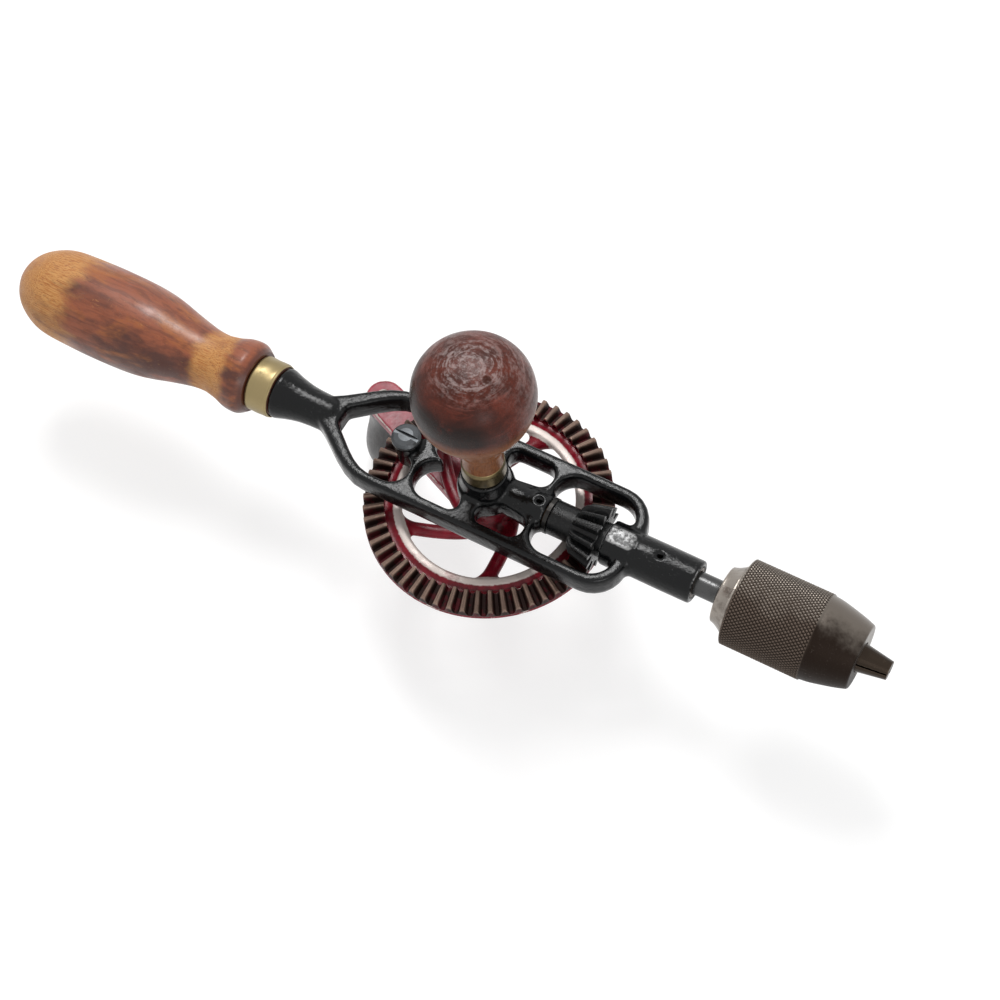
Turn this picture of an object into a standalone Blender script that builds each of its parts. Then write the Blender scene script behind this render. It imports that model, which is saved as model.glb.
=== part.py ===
"""Hand drill with a bevel gear drive, a side knob and a three jaw chuck.

The spindle axis (X, towards the chuck) and the gear axis (Z, towards the side knob)
cross at the working origin. An empty at that crossing carries every piece and lifts
it, so that the drill's box stands on Z = 0 with its middle over the world origin.
"""
import math

import bmesh
import bpy
from mathutils import Matrix, Vector

PARTS = "Hand drill"
CUTTERS = "Cutters"
ROOT_NAME = "Drill root"

MM = 0.001

# Fits and build values that every piece shares
GAP = 0.3 * MM
OVERRUN = 4.0 * MM
MERGE = 0.02 * MM
CHAMFER = 0.5 * MM
TURN_STEPS = 28
FINE_STEPS = 40
PIN_STEPS = 16
ARC_POINTS = 6
SHARP_ANGLE = math.radians(38.0)
CUTTER_TURN = math.radians(4.0)
TO_X_AXIS = (0.0, math.radians(90.0), 0.0)

# Gear pair
GEAR_TEETH = 57
PINION_TEETH = 13
GEAR_PITCH_RADIUS = 50.0 * MM
TOOTH_FACE = 8.7 * MM
DEDENDUM_SHARE = 1.25
TOOTH_SHARE = 0.455
PRESSURE_ANGLE = math.radians(20.0)
PINION_OVERHANG = 1.2 * MM
PINION_BACK = 0.8 * MM
FLANK_POINTS = 4

# Drive gear
RIM_DEPTH = 2.3 * MM
RIM_MARGIN = 0.3 * MM
BAND_WIDTH = 2.8 * MM
BAND_DEPTH = 1.6 * MM
LIP_WIDTH = 3.6 * MM
LIP_TOP = -10.7 * MM
GEAR_HUB_RADIUS = 9.4 * MM
GEAR_HUB_BOTTOM = -20.2 * MM
SPIGOT_RADIUS = 6.7 * MM
SPOKE_COUNT = 5
SPOKE_POINTS = 9
SPOKE_FIRST_ANGLE = math.radians(8.0)
SPOKE_SWEEP = math.radians(24.5)
SPOKE_RADIUS = 2.7 * MM
SPOKE_FLARE_SHARE = 0.5
SPOKE_FLARE_POWER = 4
SPOKE_HEIGHT_SHARE = 0.75
SPOKE_OUTER_Z = -13.4 * MM
SPOKE_HUB_Z = -16.6 * MM

# Gear axle
AXLE_RADIUS = 4.9 * MM
AXLE_THREAD_RADIUS = 3.8 * MM
AXLE_THREAD_LENGTH = 9.0 * MM
AXLE_HEAD_RADIUS = 8.2 * MM
AXLE_HEAD_HEIGHT = 3.2 * MM
WASHER_RADIUS = 8.8 * MM
WASHER_THICKNESS = 1.0 * MM
SLOT_WIDTH = 1.6 * MM
SLOT_DEPTH = 1.5 * MM

# Crank
CRANK_RADIUS = 70.6 * MM
CRANK_ANGLE = math.radians(157.6)
CRANK_THICKNESS = 5.2 * MM
CRANK_HUB_RADIUS = 11.6 * MM
CRANK_HUB_WIDTH = 17.0 * MM
CRANK_END_RADIUS = 8.0 * MM
CRANK_ROUNDING = 0.7 * MM
CRANK_KNOB_RADIUS = 11.6 * MM
CRANK_KNOB_LENGTH = 44.0 * MM
CRANK_KNOB_SHARES = (
    (0.0, 0.6), (0.03, 0.66), (0.08, 0.64), (0.2, 0.66), (0.35, 0.76), (0.5, 0.89),
    (0.64, 0.98), (0.75, 1.0), (0.85, 0.95), (0.93, 0.8), (0.98, 0.62), (1.0, 0.5),
)
CRANK_PIN_RADIUS = 2.8 * MM
CRANK_PIN_HEAD_RADIUS = 5.0 * MM
CRANK_PIN_HEAD_HEIGHT = 1.8 * MM

# Frame plate, seen along the gear axis
FRAME_HALF_HEIGHT = 5.5 * MM
EDGE_WIDTH = 1.15 * MM
EDGE_HEIGHT = 3.2 * MM
RAIL_Y = 20.0 * MM
RAIL_WIDTH = 4.6 * MM
RAIL_SWELL = 0.15 * MM
FORK_LENGTH = 39.0 * MM
FORK_LEAD = 7.7 * MM
CROTCH_DEPTH = 14.6 * MM
ARM_ROOT_WIDTH = 8.2 * MM
ARM_POINTS = 8
LUG_TO_WEB = 7.5 * MM
REAR_WEB_WIDTH = 2.8 * MM
WEB_ARC_RADIUS = 7.2 * MM
CUSP_ROOM_SHARE = 0.5676
CUSP_TIP = 0.73 * MM
HUB_WEB_X = -0.8 * MM
HUB_WEB_WIDTH = 7.6 * MM
HUB_WALL_RADIUS = 11.6 * MM
WEB_FLARE = 3.6 * MM
STRUT_FLARE = 4.6 * MM
WINDOW_FLARE = 8.0 * MM
STRUT_X = 24.4 * MM
STRUT_WIDTH = 3.0 * MM
WINDOW_CORNER_RADIUS = 9.2 * MM
FRONT_RAIL_WIDTH = 5.5 * MM
FRONT_CORNER_RADIUS = 14.0 * MM

# Frame bosses, tubes and socket
HUB_BOSS_RADIUS = 10.2 * MM
HUB_BOSS_TOP_RADIUS = 9.3 * MM
HUB_BOSS_BOTTOM = -6.2 * MM
HUB_BOSS_TOP = 12.9 * MM
TUBE_RADIUS = 8.0 * MM
TUBE_NECK_RADIUS = 7.2 * MM
TUBE_START_X = 6.0 * MM
TUBE_NECK_END_X = 12.0 * MM
TUBE_SWELL_X = 18.0 * MM
TUBE_END_X = 27.7 * MM
REAR_BORE_X = 17.6 * MM
BLOCK_RADIUS = 9.2 * MM
BLOCK_CLEARANCE = 2.4 * MM
BLOCK_INSET = 6.5 * MM
BLOCK_LENGTH = 11.7 * MM
BLOCK_FLAT_Z = 8.6 * MM
GROOVE_WIDTH = 1.2 * MM
GROOVE_RADIUS = 8.0 * MM
SLEEVE_RADIUS = 8.7 * MM
SLEEVE_LENGTH = 26.8 * MM
OIL_HOLE_RADIUS = 1.7 * MM
REAR_OIL_X = 23.9 * MM
FRONT_OIL_REACH = 10.7 * MM
LUG_INSET = 0.4 * MM
LUG_RADIUS = 5.6 * MM
LUG_FOOT_RADIUS = 4.6 * MM
LUG_TOP = 9.6 * MM
LUG_BOTTOM = -5.6 * MM
SOCKET_RADIUS = 10.9 * MM
SOCKET_FRONT_RADIUS = 9.4 * MM
NECK_AND_SOCKET = 27.8 * MM
SOCKET_LENGTH = 5.8 * MM
NECK_RADIUS = 7.6 * MM
NECK_SHARES = ((0.15, 1.13), (0.3, 1.05), (0.5, 1.0), (0.75, 0.98), (0.9, 0.9), (1.0, 0.72))
TANG_RADIUS = 4.6 * MM
TANG_TIP_RADIUS = 2.8 * MM
TANG_LENGTH = 84.0 * MM

# Gear steady screw
STEADY_SHANK_RADIUS = 3.3 * MM
STEADY_HEAD_RADIUS = 5.9 * MM
STEADY_HEAD_HEIGHT = 3.2 * MM
STEADY_TIP_RADIUS = 2.0 * MM
STEADY_CONE_LENGTH = 3.4 * MM

# Spindle and its bearings
SPINDLE_RADIUS = 4.75 * MM
BUSH_WALL = 1.2 * MM
THRUST_WASHER_THICKNESS = 1.6 * MM
THRUST_WASHER_RADIUS = 7.4 * MM
PINION_HUB_RADIUS = 7.1 * MM
PINION_PIN_RADIUS = 1.3 * MM
PINION_PIN_X = 35.3 * MM
SPINDLE_NOSE_RADIUS = 4.2 * MM
SPINDLE_NOSE_LENGTH = 15.0 * MM

# Chuck
SPINDLE_SHOWING = 9.2 * MM
COLLAR_REAR_RADIUS = 6.6 * MM
COLLAR_STEP_RADIUS = 11.2 * MM
COLLAR_STEP_LENGTH = 1.1 * MM
COLLAR_RADIUS = 13.9 * MM
COLLAR_LENGTH = 7.3 * MM
COLLAR_EDGE = 0.9 * MM
COLLAR_SHARES = ((1.0, 1.0), (0.8, 0.72), (0.6, 0.46), (0.4, 0.25), (0.2, 0.1), (0.0, 0.0))
NOTCH_WIDTH = 4.0 * MM
NOTCH_DEPTH = 3.0 * MM
NOSE_ROOM = 20.8 * MM
JAW_ROOM_START = 19.6 * MM
SHELL_RADIUS = 17.5 * MM
SHELL_BORE_RADIUS = 14.0 * MM
KNURL_LENGTH = 32.3 * MM
SHELL_LENGTH = 50.4 * MM
SHELL_NOSE_RADIUS = 12.9 * MM
NOSE_SHARES = ((1.0, 0.0), (0.86, 0.2), (0.7, 0.4), (0.52, 0.59), (0.35, 0.76), (0.18, 0.91), (0.0, 1.0))
NUT_LENGTH = 7.0 * MM
JAW_ANGLE = math.radians(9.5)
JAW_MOUTH_RADIUS = 5.8 * MM
JAW_STICK_OUT = 11.6 * MM
JAW_LENGTH = 30.5 * MM
JAW_SPLIT = 0.7 * MM
JAW_COUNT = 3
JAW_ARC_POINTS = 9

# Main handle
HANDLE_LENGTH = 116.6 * MM
HANDLE_RADIUS = 19.65 * MM
HANDLE_SHARES = (
    (0.0, 0.66), (0.028, 0.766), (0.05, 0.784), (0.08, 0.762), (0.116, 0.692),
    (0.139, 0.662), (0.169, 0.634), (0.207, 0.644), (0.25, 0.688), (0.32, 0.784),
    (0.38, 0.876), (0.44, 0.945), (0.52, 0.985), (0.646, 1.0), (0.76, 0.982),
    (0.829, 0.954), (0.876, 0.886), (0.923, 0.748), (0.958, 0.58), (0.985, 0.35), (1.0, 0.0),
)
FERRULE_RADIUS = 11.7 * MM
FERRULE_WALL = 1.0 * MM
FERRULE_LENGTH = 10.2 * MM

# Side knob
KNOB_FERRULE_RADIUS = 8.85 * MM
KNOB_FERRULE_LENGTH = 8.6 * MM
KNOB_LENGTH = 67.4 * MM
KNOB_RADIUS = 23.5 * MM
KNOB_SHARES = (
    (1.0, 0.0), (0.996, 0.2), (0.982, 0.4), (0.955, 0.585), (0.915, 0.75),
    (0.86, 0.88), (0.79, 0.965), (0.71, 0.998), (0.65, 0.995), (0.575, 0.945),
    (0.505, 0.85), (0.445, 0.735), (0.39, 0.62), (0.33, 0.515), (0.26, 0.43),
    (0.19, 0.38), (0.12, 0.355), (0.05, 0.35), (0.0, 0.35),
)
KNOB_STUD_RADIUS = 3.7 * MM
KNOB_STUD_REACH = 34.0 * MM
KNOB_STUD_DEPTH = 7.6 * MM


def half(value):
    return value / 2.0


def tooth_module():
    return 2.0 * GEAR_PITCH_RADIUS / GEAR_TEETH


def pinion_pitch_radius():
    return half(tooth_module() * PINION_TEETH)


def lip_inner_radius():
    return GEAR_PITCH_RADIUS - TOOTH_FACE - BAND_WIDTH - LIP_WIDTH


def lug_x():
    """The lug's screw stands over the gear's lip, so its place follows the gear."""
    return -(lip_inner_radius() + LUG_INSET)


def rear_web_x():
    return lug_x() + LUG_TO_WEB


def fork_end_x():
    return lug_x() - FORK_LEAD


def fork_start_x():
    return fork_end_x() - FORK_LENGTH


def crotch_x():
    return fork_start_x() + CROTCH_DEPTH


def socket_rear_x():
    return crotch_x() - NECK_AND_SOCKET


def handle_front_x():
    return socket_rear_x() - FERRULE_LENGTH


def block_start_x():
    """The front block stands clear of the pinion's outer end."""
    return GEAR_PITCH_RADIUS + PINION_OVERHANG + BLOCK_CLEARANCE


def block_end_x():
    return block_start_x() + BLOCK_LENGTH


def window_end_x():
    return block_start_x() + BLOCK_INSET


def front_face_x():
    return window_end_x() + FRONT_RAIL_WIDTH


def sleeve_end_x():
    return block_end_x() + SLEEVE_LENGTH


def front_oil_x():
    return block_end_x() + FRONT_OIL_REACH


def chuck_rear_x():
    return sleeve_end_x() + SPINDLE_SHOWING


def shell_rear_x():
    return chuck_rear_x() + COLLAR_LENGTH + GAP


def shell_end_x():
    return shell_rear_x() + SHELL_LENGTH


def body_front_x():
    return shell_end_x() - NOSE_ROOM


def nut_front_x():
    return body_front_x() + GAP + NUT_LENGTH


def jaw_tip_x():
    return shell_end_x() + JAW_STICK_OUT


def jaw_cone_radius(x):
    """Outer radius of the closed jaws at a place along the spindle."""
    return JAW_MOUTH_RADIUS + (shell_end_x() - x) * math.tan(JAW_ANGLE)


def gear_hub_top():
    return HUB_BOSS_BOTTOM - WASHER_THICKNESS - 2.0 * GAP


def crank_top():
    return GEAR_HUB_BOTTOM - GAP


def crank_bottom():
    return crank_top() - CRANK_THICKNESS


def axle_head_top():
    return crank_bottom() - WASHER_THICKNESS - 2.0 * GAP


def crank_knob_bottom():
    return crank_bottom() - GAP - CRANK_KNOB_LENGTH


def knob_foot_z():
    return HUB_BOSS_TOP + KNOB_FERRULE_LENGTH + 2.0 * GAP


def handle_end_x():
    return handle_front_x() - HANDLE_LENGTH


def crank_pin_place():
    return Vector((
        CRANK_RADIUS * math.cos(CRANK_ANGLE),
        CRANK_RADIUS * math.sin(CRANK_ANGLE),
        0.0,
    ))


def assembly_lift():
    """Height and shift that stand the drill's box on the world origin."""
    middle_x = half(handle_end_x() + jaw_tip_x())
    return Vector((-middle_x, 0.0, -crank_knob_bottom()))


# Scene and collections

def clear_scene():
    for leftover in list(bpy.data.objects):
        bpy.data.objects.remove(leftover, do_unlink=True)


def new_collection(name):
    collection = bpy.data.collections.new(name)
    bpy.context.scene.collection.children.link(collection)
    return collection


def place(item, collection_name, location=(0.0, 0.0, 0.0), rotation=(0.0, 0.0, 0.0)):
    """Put an object in a collection and hang it on the drill's root empty."""
    bpy.data.collections[collection_name].objects.link(item)
    item.location = location
    item.rotation_euler = rotation
    item.parent = bpy.data.objects[ROOT_NAME]
    if collection_name == CUTTERS:
        item.hide_render = True
        item.display_type = "WIRE"
    return item


def mesh_item(name, mesh, collection_name, location=(0.0, 0.0, 0.0), rotation=(0.0, 0.0, 0.0)):
    return place(bpy.data.objects.new(name, mesh), collection_name, location, rotation)


# Basic shapes

def turned(name, profile, collection_name, steps=TURN_STEPS, closed=False, start=0.0, **where):
    """Spin (radius, height) points, listed down the outer side, round local Z."""
    side = Vector((math.cos(start), math.sin(start), 0.0))
    spots = [side * radius + Vector((0.0, 0.0, height)) for radius, height in profile]
    edges = [(index, index + 1) for index in range(len(profile) - 1)]
    if closed:
        edges.append((len(profile) - 1, 0))
    mesh = bpy.data.meshes.new(name)
    mesh.from_pydata(spots, edges, [])
    item = mesh_item(name, mesh, collection_name, **where)
    turn = item.modifiers.new("Turn", "SCREW")
    turn.steps = steps
    turn.render_steps = steps
    turn.use_merge_vertices = True
    turn.merge_threshold = MERGE
    return item


def ring(name, outer, inner, low, high, collection_name, steps=TURN_STEPS, **where):
    profile = [(outer, high), (outer, low), (inner, low), (inner, high)]
    return turned(name, profile, collection_name, steps, closed=True, **where)


def rod(name, radius, low, high, collection_name=None, steps=PIN_STEPS, **where):
    """A plain round bar along local Z, used as a cutter unless a collection is given."""
    profile = [(0.0, high), (radius, high), (radius, low), (0.0, low)]
    start = 0.0 if collection_name else CUTTER_TURN
    return turned(name, profile, collection_name or CUTTERS, steps, start=start, **where)


def block(name, size, centre, rotation=(0.0, 0.0, 0.0)):
    mesh = bpy.data.meshes.new(name)
    shape = bmesh.new()
    bmesh.ops.create_cube(shape, size=1.0, matrix=Matrix.Diagonal((*size, 1.0)))
    shape.to_mesh(mesh)
    shape.free()
    return mesh_item(name, mesh, CUTTERS, location=centre, rotation=rotation)


def combine(item, other, operation):
    step = item.modifiers.new(other.name, "BOOLEAN")
    step.operation = operation
    step.solver = "EXACT"
    step.object = other


def cut(item, *cutters):
    for cutter in cutters:
        combine(item, cutter, "DIFFERENCE")


def join(item, *others):
    for other in others:
        combine(item, other, "UNION")


def curve_mesh(curve, name, stretch=1.0):
    """Turn a curve into a welded mesh, stretched along local Z."""
    helper = bpy.data.objects.new(name, curve)
    bpy.context.scene.collection.objects.link(helper)
    graph = bpy.context.evaluated_depsgraph_get()
    mesh = bpy.data.meshes.new_from_object(helper.evaluated_get(graph))
    bpy.data.objects.remove(helper, do_unlink=True)
    shape = bmesh.new()
    shape.from_mesh(mesh)
    bmesh.ops.remove_doubles(shape, verts=shape.verts, dist=half(MERGE))
    bmesh.ops.transform(shape, matrix=Matrix.Diagonal((1.0, 1.0, stretch, 1.0)), verts=shape.verts)
    bmesh.ops.recalc_face_normals(shape, faces=shape.faces)
    shape.to_mesh(mesh)
    shape.free()
    mesh.name = name
    return mesh


def plate_mesh(name, outlines, half_height, edge_width, edge_height):
    """A flat plate with holes whose long edges are rounded to an ellipse."""
    stretch = edge_height / edge_width
    curve = bpy.data.curves.new(name, "CURVE")
    curve.dimensions = "2D"
    curve.fill_mode = "BOTH"
    curve.extrude = (half_height - edge_height) / stretch
    curve.bevel_depth = edge_width
    curve.bevel_resolution = 1
    curve.offset = -edge_width
    for outline in outlines:
        spline = curve.splines.new("POLY")
        spline.points.add(len(outline) - 1)
        for point, (x, y) in zip(spline.points, outline):
            point.co = (x, y, 0.0, 1.0)
        spline.use_cyclic_u = True
    return curve_mesh(curve, name, stretch)


def arc(centre_x, centre_y, radius, start, end, count=ARC_POINTS):
    """Points on an arc, angles in degrees."""
    points = []
    for index in range(count + 1):
        angle = math.radians(start + (end - start) * index / count)
        points.append((centre_x + radius * math.cos(angle), centre_y + radius * math.sin(angle)))
    return points


def both_sides(points):
    """Close an outline that runs on the +Y side by its mirror image."""
    return points + [(x, -y) for x, y in reversed(points)]


def other_side(points):
    return [(x, -y) for x, y in points]


def smooth(item, angle=SHARP_ANGLE):
    for face in item.data.polygons:
        face.use_smooth = True
    for step in item.modifiers:
        if step.type == "SCREW":
            step.use_smooth_shade = True
    item.data.set_sharp_from_angle(angle=angle)


# Materials

def finish(item, colour, roughness, metallic):
    look = bpy.data.materials.new(item.name)
    look.use_nodes = True
    shader = look.node_tree.nodes["Principled BSDF"]
    shader.inputs["Base Color"].default_value = (*colour, 1.0)
    shader.inputs["Roughness"].default_value = roughness
    shader.inputs["Metallic"].default_value = metallic
    look.diffuse_color = (*colour, 1.0)
    item.data.materials.clear()
    item.data.materials.append(look)
    smooth(item)


def black_enamel(item):
    finish(item, colour=(0.02, 0.021, 0.024), roughness=0.28, metallic=0.0)


def red_enamel(item):
    finish(item, colour=(0.42, 0.03, 0.05), roughness=0.32, metallic=0.0)


def orange_wood(item):
    finish(item, colour=(0.45, 0.14, 0.03), roughness=0.25, metallic=0.0)


def dark_wood(item):
    finish(item, colour=(0.16, 0.05, 0.025), roughness=0.3, metallic=0.0)


def grey_wood(item):
    finish(item, colour=(0.05, 0.045, 0.045), roughness=0.4, metallic=0.0)


def brass(item):
    finish(item, colour=(0.55, 0.47, 0.24), roughness=0.35, metallic=1.0)


def steel(item):
    finish(item, colour=(0.35, 0.33, 0.3), roughness=0.38, metallic=1.0)


def dark_steel(item):
    finish(item, colour=(0.2, 0.17, 0.15), roughness=0.42, metallic=1.0)


def bronze(item):
    finish(item, colour=(0.45, 0.27, 0.12), roughness=0.4, metallic=1.0)


# Frame

def arm_point(t, side):
    """Edge of a fork arm at share t of its length, side +1 outside and -1 inside."""
    middle = half(RAIL_Y * (1.0 - math.cos(math.pi * t)))
    slope = half(RAIL_Y * math.pi * math.sin(math.pi * t)) / FORK_LENGTH
    width = ARM_ROOT_WIDTH + (RAIL_WIDTH - ARM_ROOT_WIDTH) * t
    reach = side * half(width) / math.hypot(1.0, slope)
    x = fork_start_x() + FORK_LENGTH * t
    return (x - reach * slope, middle + reach)


def frame_outer_outline():
    points = [arm_point(index / ARM_POINTS, 1.0) for index in range(1, ARM_POINTS + 1)]
    corner_y = RAIL_Y + half(RAIL_WIDTH) - FRONT_CORNER_RADIUS
    points += arc(front_face_x() - FRONT_CORNER_RADIUS, corner_y, FRONT_CORNER_RADIUS, 90.0, 0.0)
    return both_sides(points)


def rail_inner_y(swells=0):
    """Inner edge of a rail, which thickens a little in steps towards the hub."""
    return RAIL_Y - half(RAIL_WIDTH) - RAIL_SWELL * swells


def fork_opening():
    arms = [arm_point(index / ARM_POINTS, -1.0) for index in range(ARM_POINTS + 1)]
    points = [point for point in arms if point[1] > CHAMFER]
    web_x = rear_web_x() - half(REAR_WEB_WIDTH)
    points += arc(web_x - WEB_ARC_RADIUS, rail_inner_y() - WEB_ARC_RADIUS, WEB_ARC_RADIUS, 90.0, -50.0)
    return both_sides(points)


def rear_opening():
    """Opening between the rear web and the hub, with a cusp that points at the hub."""
    web_x = rear_web_x() + half(REAR_WEB_WIDTH)
    room = min(-web_x - HUB_WALL_RADIUS, rail_inner_y(2))
    radius = CUSP_ROOM_SHARE * room
    centre_y = rail_inner_y(2) - radius
    # A small arc ends in a straight edge, a large one where it nears the middle
    turned_by = math.degrees(math.asin(min(1.0, (centre_y - CUSP_TIP) / radius)))
    side_x = HUB_WEB_X - half(HUB_WEB_WIDTH)
    points = arc(0.0, 0.0, HUB_WALL_RADIUS, 180.0, 120.0)
    points += arc(side_x - WEB_FLARE, rail_inner_y(2) - WEB_FLARE, WEB_FLARE, 0.0, 90.0)
    points += arc(web_x + radius, centre_y, radius, 90.0, 180.0 + turned_by, 2 * ARC_POINTS)
    return both_sides(points)


def side_opening():
    """Opening between the hub web, the bearing tube and the strut, on the +Y side."""
    left_x = HUB_WEB_X + half(HUB_WEB_WIDTH)
    right_x = STRUT_X - half(STRUT_WIDTH)
    low_y = TUBE_NECK_RADIUS - 2.0 * CHAMFER
    flare_x = right_x - STRUT_FLARE
    points = [(TUBE_START_X + WEB_FLARE, low_y)]
    points += arc(0.0, 0.0, HUB_WALL_RADIUS, 40.0, 72.0)
    points += arc(left_x + WEB_FLARE, rail_inner_y(3) - WEB_FLARE, WEB_FLARE, 180.0, 90.0)
    points += arc(flare_x, rail_inner_y(3) - STRUT_FLARE, STRUT_FLARE, 90.0, 0.0)
    points += arc(flare_x, TUBE_NECK_RADIUS + STRUT_FLARE, STRUT_FLARE, 0.0, -90.0)
    return points


def pinion_window():
    left_x = STRUT_X + half(STRUT_WIDTH)
    corner = WINDOW_CORNER_RADIUS
    points = arc(left_x + WINDOW_FLARE, rail_inner_y(1) - WINDOW_FLARE, WINDOW_FLARE, 180.0, 90.0)
    points += arc(window_end_x() - corner, rail_inner_y(1) - corner, corner, 90.0, 0.0)
    return both_sides(points)


def frame_neck():
    """Tang, socket rim and concave neck, turned about the handle axis."""
    rim_end = socket_rear_x() + SOCKET_LENGTH
    neck_length = crotch_x() - rim_end
    profile = [(0.0, crotch_x())]
    for along, radius in reversed(NECK_SHARES):
        profile.append((NECK_RADIUS * radius, rim_end + neck_length * along))
    profile += [
        (SOCKET_FRONT_RADIUS, rim_end),
        (SOCKET_RADIUS, socket_rear_x() + 2.0 * CHAMFER),
        (SOCKET_RADIUS - CHAMFER, socket_rear_x()),
        (TANG_RADIUS, socket_rear_x()),
        (TANG_TIP_RADIUS, socket_rear_x() - TANG_LENGTH),
        (0.0, socket_rear_x() - TANG_LENGTH),
    ]
    return turned("frame neck", profile, CUTTERS, rotation=TO_X_AXIS)


def frame_rear_tube():
    """Bearing tube whose neck starts outside the washer that lies under the boss."""
    root_radius = FRAME_HALF_HEIGHT - CHAMFER
    profile = [
        (0.0, TUBE_END_X),
        (TUBE_RADIUS - CHAMFER, TUBE_END_X),
        (TUBE_RADIUS, TUBE_END_X - CHAMFER),
        (TUBE_RADIUS, TUBE_SWELL_X + CHAMFER),
        (TUBE_RADIUS - CHAMFER, TUBE_SWELL_X),
        (TUBE_NECK_RADIUS, TUBE_NECK_END_X),
        (TUBE_NECK_RADIUS, HUB_BOSS_RADIUS + CHAMFER),
        (root_radius, WASHER_RADIUS + GAP),
        (root_radius, 0.0),
        (0.0, 0.0),
    ]
    return turned("frame rear tube", profile, CUTTERS, rotation=TO_X_AXIS)


def frame_front_sleeve():
    groove_x = block_end_x() + GROOVE_WIDTH
    profile = [
        (0.0, sleeve_end_x()),
        (SLEEVE_RADIUS - CHAMFER, sleeve_end_x()),
        (SLEEVE_RADIUS, sleeve_end_x() - CHAMFER),
        (SLEEVE_RADIUS, groove_x),
        (GROOVE_RADIUS, groove_x - CHAMFER),
        (GROOVE_RADIUS, block_end_x()),
        (BLOCK_RADIUS, block_end_x() - CHAMFER),
        (BLOCK_RADIUS, block_start_x()),
        (0.0, block_start_x()),
    ]
    return turned("frame front sleeve", profile, CUTTERS, rotation=TO_X_AXIS)


def frame_hub_boss():
    profile = [
        (0.0, HUB_BOSS_TOP),
        (HUB_BOSS_TOP_RADIUS, HUB_BOSS_TOP),
        (HUB_BOSS_RADIUS, FRAME_HALF_HEIGHT),
        (HUB_BOSS_RADIUS + CHAMFER, -FRAME_HALF_HEIGHT),
        (HUB_BOSS_RADIUS, HUB_BOSS_BOTTOM),
        (0.0, HUB_BOSS_BOTTOM),
    ]
    return turned("frame hub boss", profile, CUTTERS)


def frame_lug():
    profile = [
        (0.0, LUG_TOP),
        (LUG_RADIUS, LUG_TOP),
        (LUG_FOOT_RADIUS, LUG_BOTTOM),
        (0.0, LUG_BOTTOM),
    ]
    return turned("frame lug", profile, CUTTERS, location=(lug_x(), 0.0, 0.0))


def oil_holes():
    high = BLOCK_RADIUS + OVERRUN
    rear = rod("rear oil hole", OIL_HOLE_RADIUS, SPINDLE_RADIUS, high, location=(REAR_OIL_X, 0.0, 0.0))
    front = rod("front oil hole", OIL_HOLE_RADIUS, SPINDLE_RADIUS, high, location=(front_oil_x(), 0.0, 0.0))
    return rear, front


def frame_bores():
    """Clearance for the bushes, the axle, the knob stud and the steady screw."""
    bush = bush_radius() + GAP
    knob_hole_low = HUB_BOSS_TOP - KNOB_STUD_DEPTH - GAP
    axle_hole_high = HUB_BOSS_BOTTOM + AXLE_THREAD_LENGTH + GAP
    return (
        rod("rear bore", bush, REAR_BORE_X, TUBE_END_X + OVERRUN, steps=TURN_STEPS, rotation=TO_X_AXIS),
        rod(
            "front bore", bush, block_start_x() - OVERRUN, sleeve_end_x() + OVERRUN,
            steps=TURN_STEPS, rotation=TO_X_AXIS,
        ),
        rod("axle hole", AXLE_THREAD_RADIUS + GAP, HUB_BOSS_BOTTOM - OVERRUN, axle_hole_high),
        rod("knob stud hole", KNOB_STUD_RADIUS + GAP, knob_hole_low, HUB_BOSS_TOP + OVERRUN),
        rod(
            "steady screw hole", STEADY_SHANK_RADIUS + GAP, LUG_BOTTOM - OVERRUN, LUG_TOP + OVERRUN,
            location=(lug_x(), 0.0, 0.0),
        ),
    )


def build_frame(holes):
    """One casting: rails, fork, webs, hub, tubes, socket and tang."""
    outlines = [
        frame_outer_outline(), fork_opening(), rear_opening(),
        side_opening(), other_side(side_opening()), pinion_window(),
    ]
    mesh = plate_mesh("frame", outlines, FRAME_HALF_HEIGHT, EDGE_WIDTH, EDGE_HEIGHT)
    frame = mesh_item("frame", mesh, PARTS)
    join(frame, frame_neck(), frame_hub_boss(), frame_rear_tube(), frame_front_sleeve(), frame_lug())
    flat_size = (block_end_x() - block_start_x(), 2.0 * BLOCK_RADIUS, OVERRUN)
    flat_place = (half(block_start_x() + block_end_x()), 0.0, BLOCK_FLAT_Z + half(OVERRUN))
    cut(frame, block("block flat", flat_size, flat_place), *frame_bores(), *holes)
    black_enamel(frame)


# Bearings and spindle

def bush_radius():
    return SPINDLE_RADIUS + GAP + BUSH_WALL


def build_bush(name, low, high, hole):
    bush = ring(name, bush_radius(), SPINDLE_RADIUS + GAP, low, high, PARTS, rotation=TO_X_AXIS)
    cut(bush, hole)
    bronze(bush)


def pin_hole():
    reach = PINION_HUB_RADIUS + OVERRUN
    return rod(
        "pin hole", PINION_PIN_RADIUS + GAP, -reach, reach, steps=PIN_STEPS,
        location=(PINION_PIN_X, 0.0, 0.0), rotation=(math.radians(90.0), 0.0, 0.0),
    )


def build_spindle(hole):
    nose_x = chuck_rear_x() - GAP
    profile = [
        (0.0, nose_x + SPINDLE_NOSE_LENGTH),
        (SPINDLE_NOSE_RADIUS, nose_x + SPINDLE_NOSE_LENGTH),
        (SPINDLE_NOSE_RADIUS, nose_x),
        (SPINDLE_RADIUS, nose_x),
        (SPINDLE_RADIUS, REAR_BORE_X + GAP + CHAMFER),
        (SPINDLE_RADIUS - CHAMFER, REAR_BORE_X + GAP),
        (0.0, REAR_BORE_X + GAP),
    ]
    spindle = turned("spindle", profile, PARTS, rotation=TO_X_AXIS)
    cut(spindle, hole)
    steel(spindle)


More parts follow.
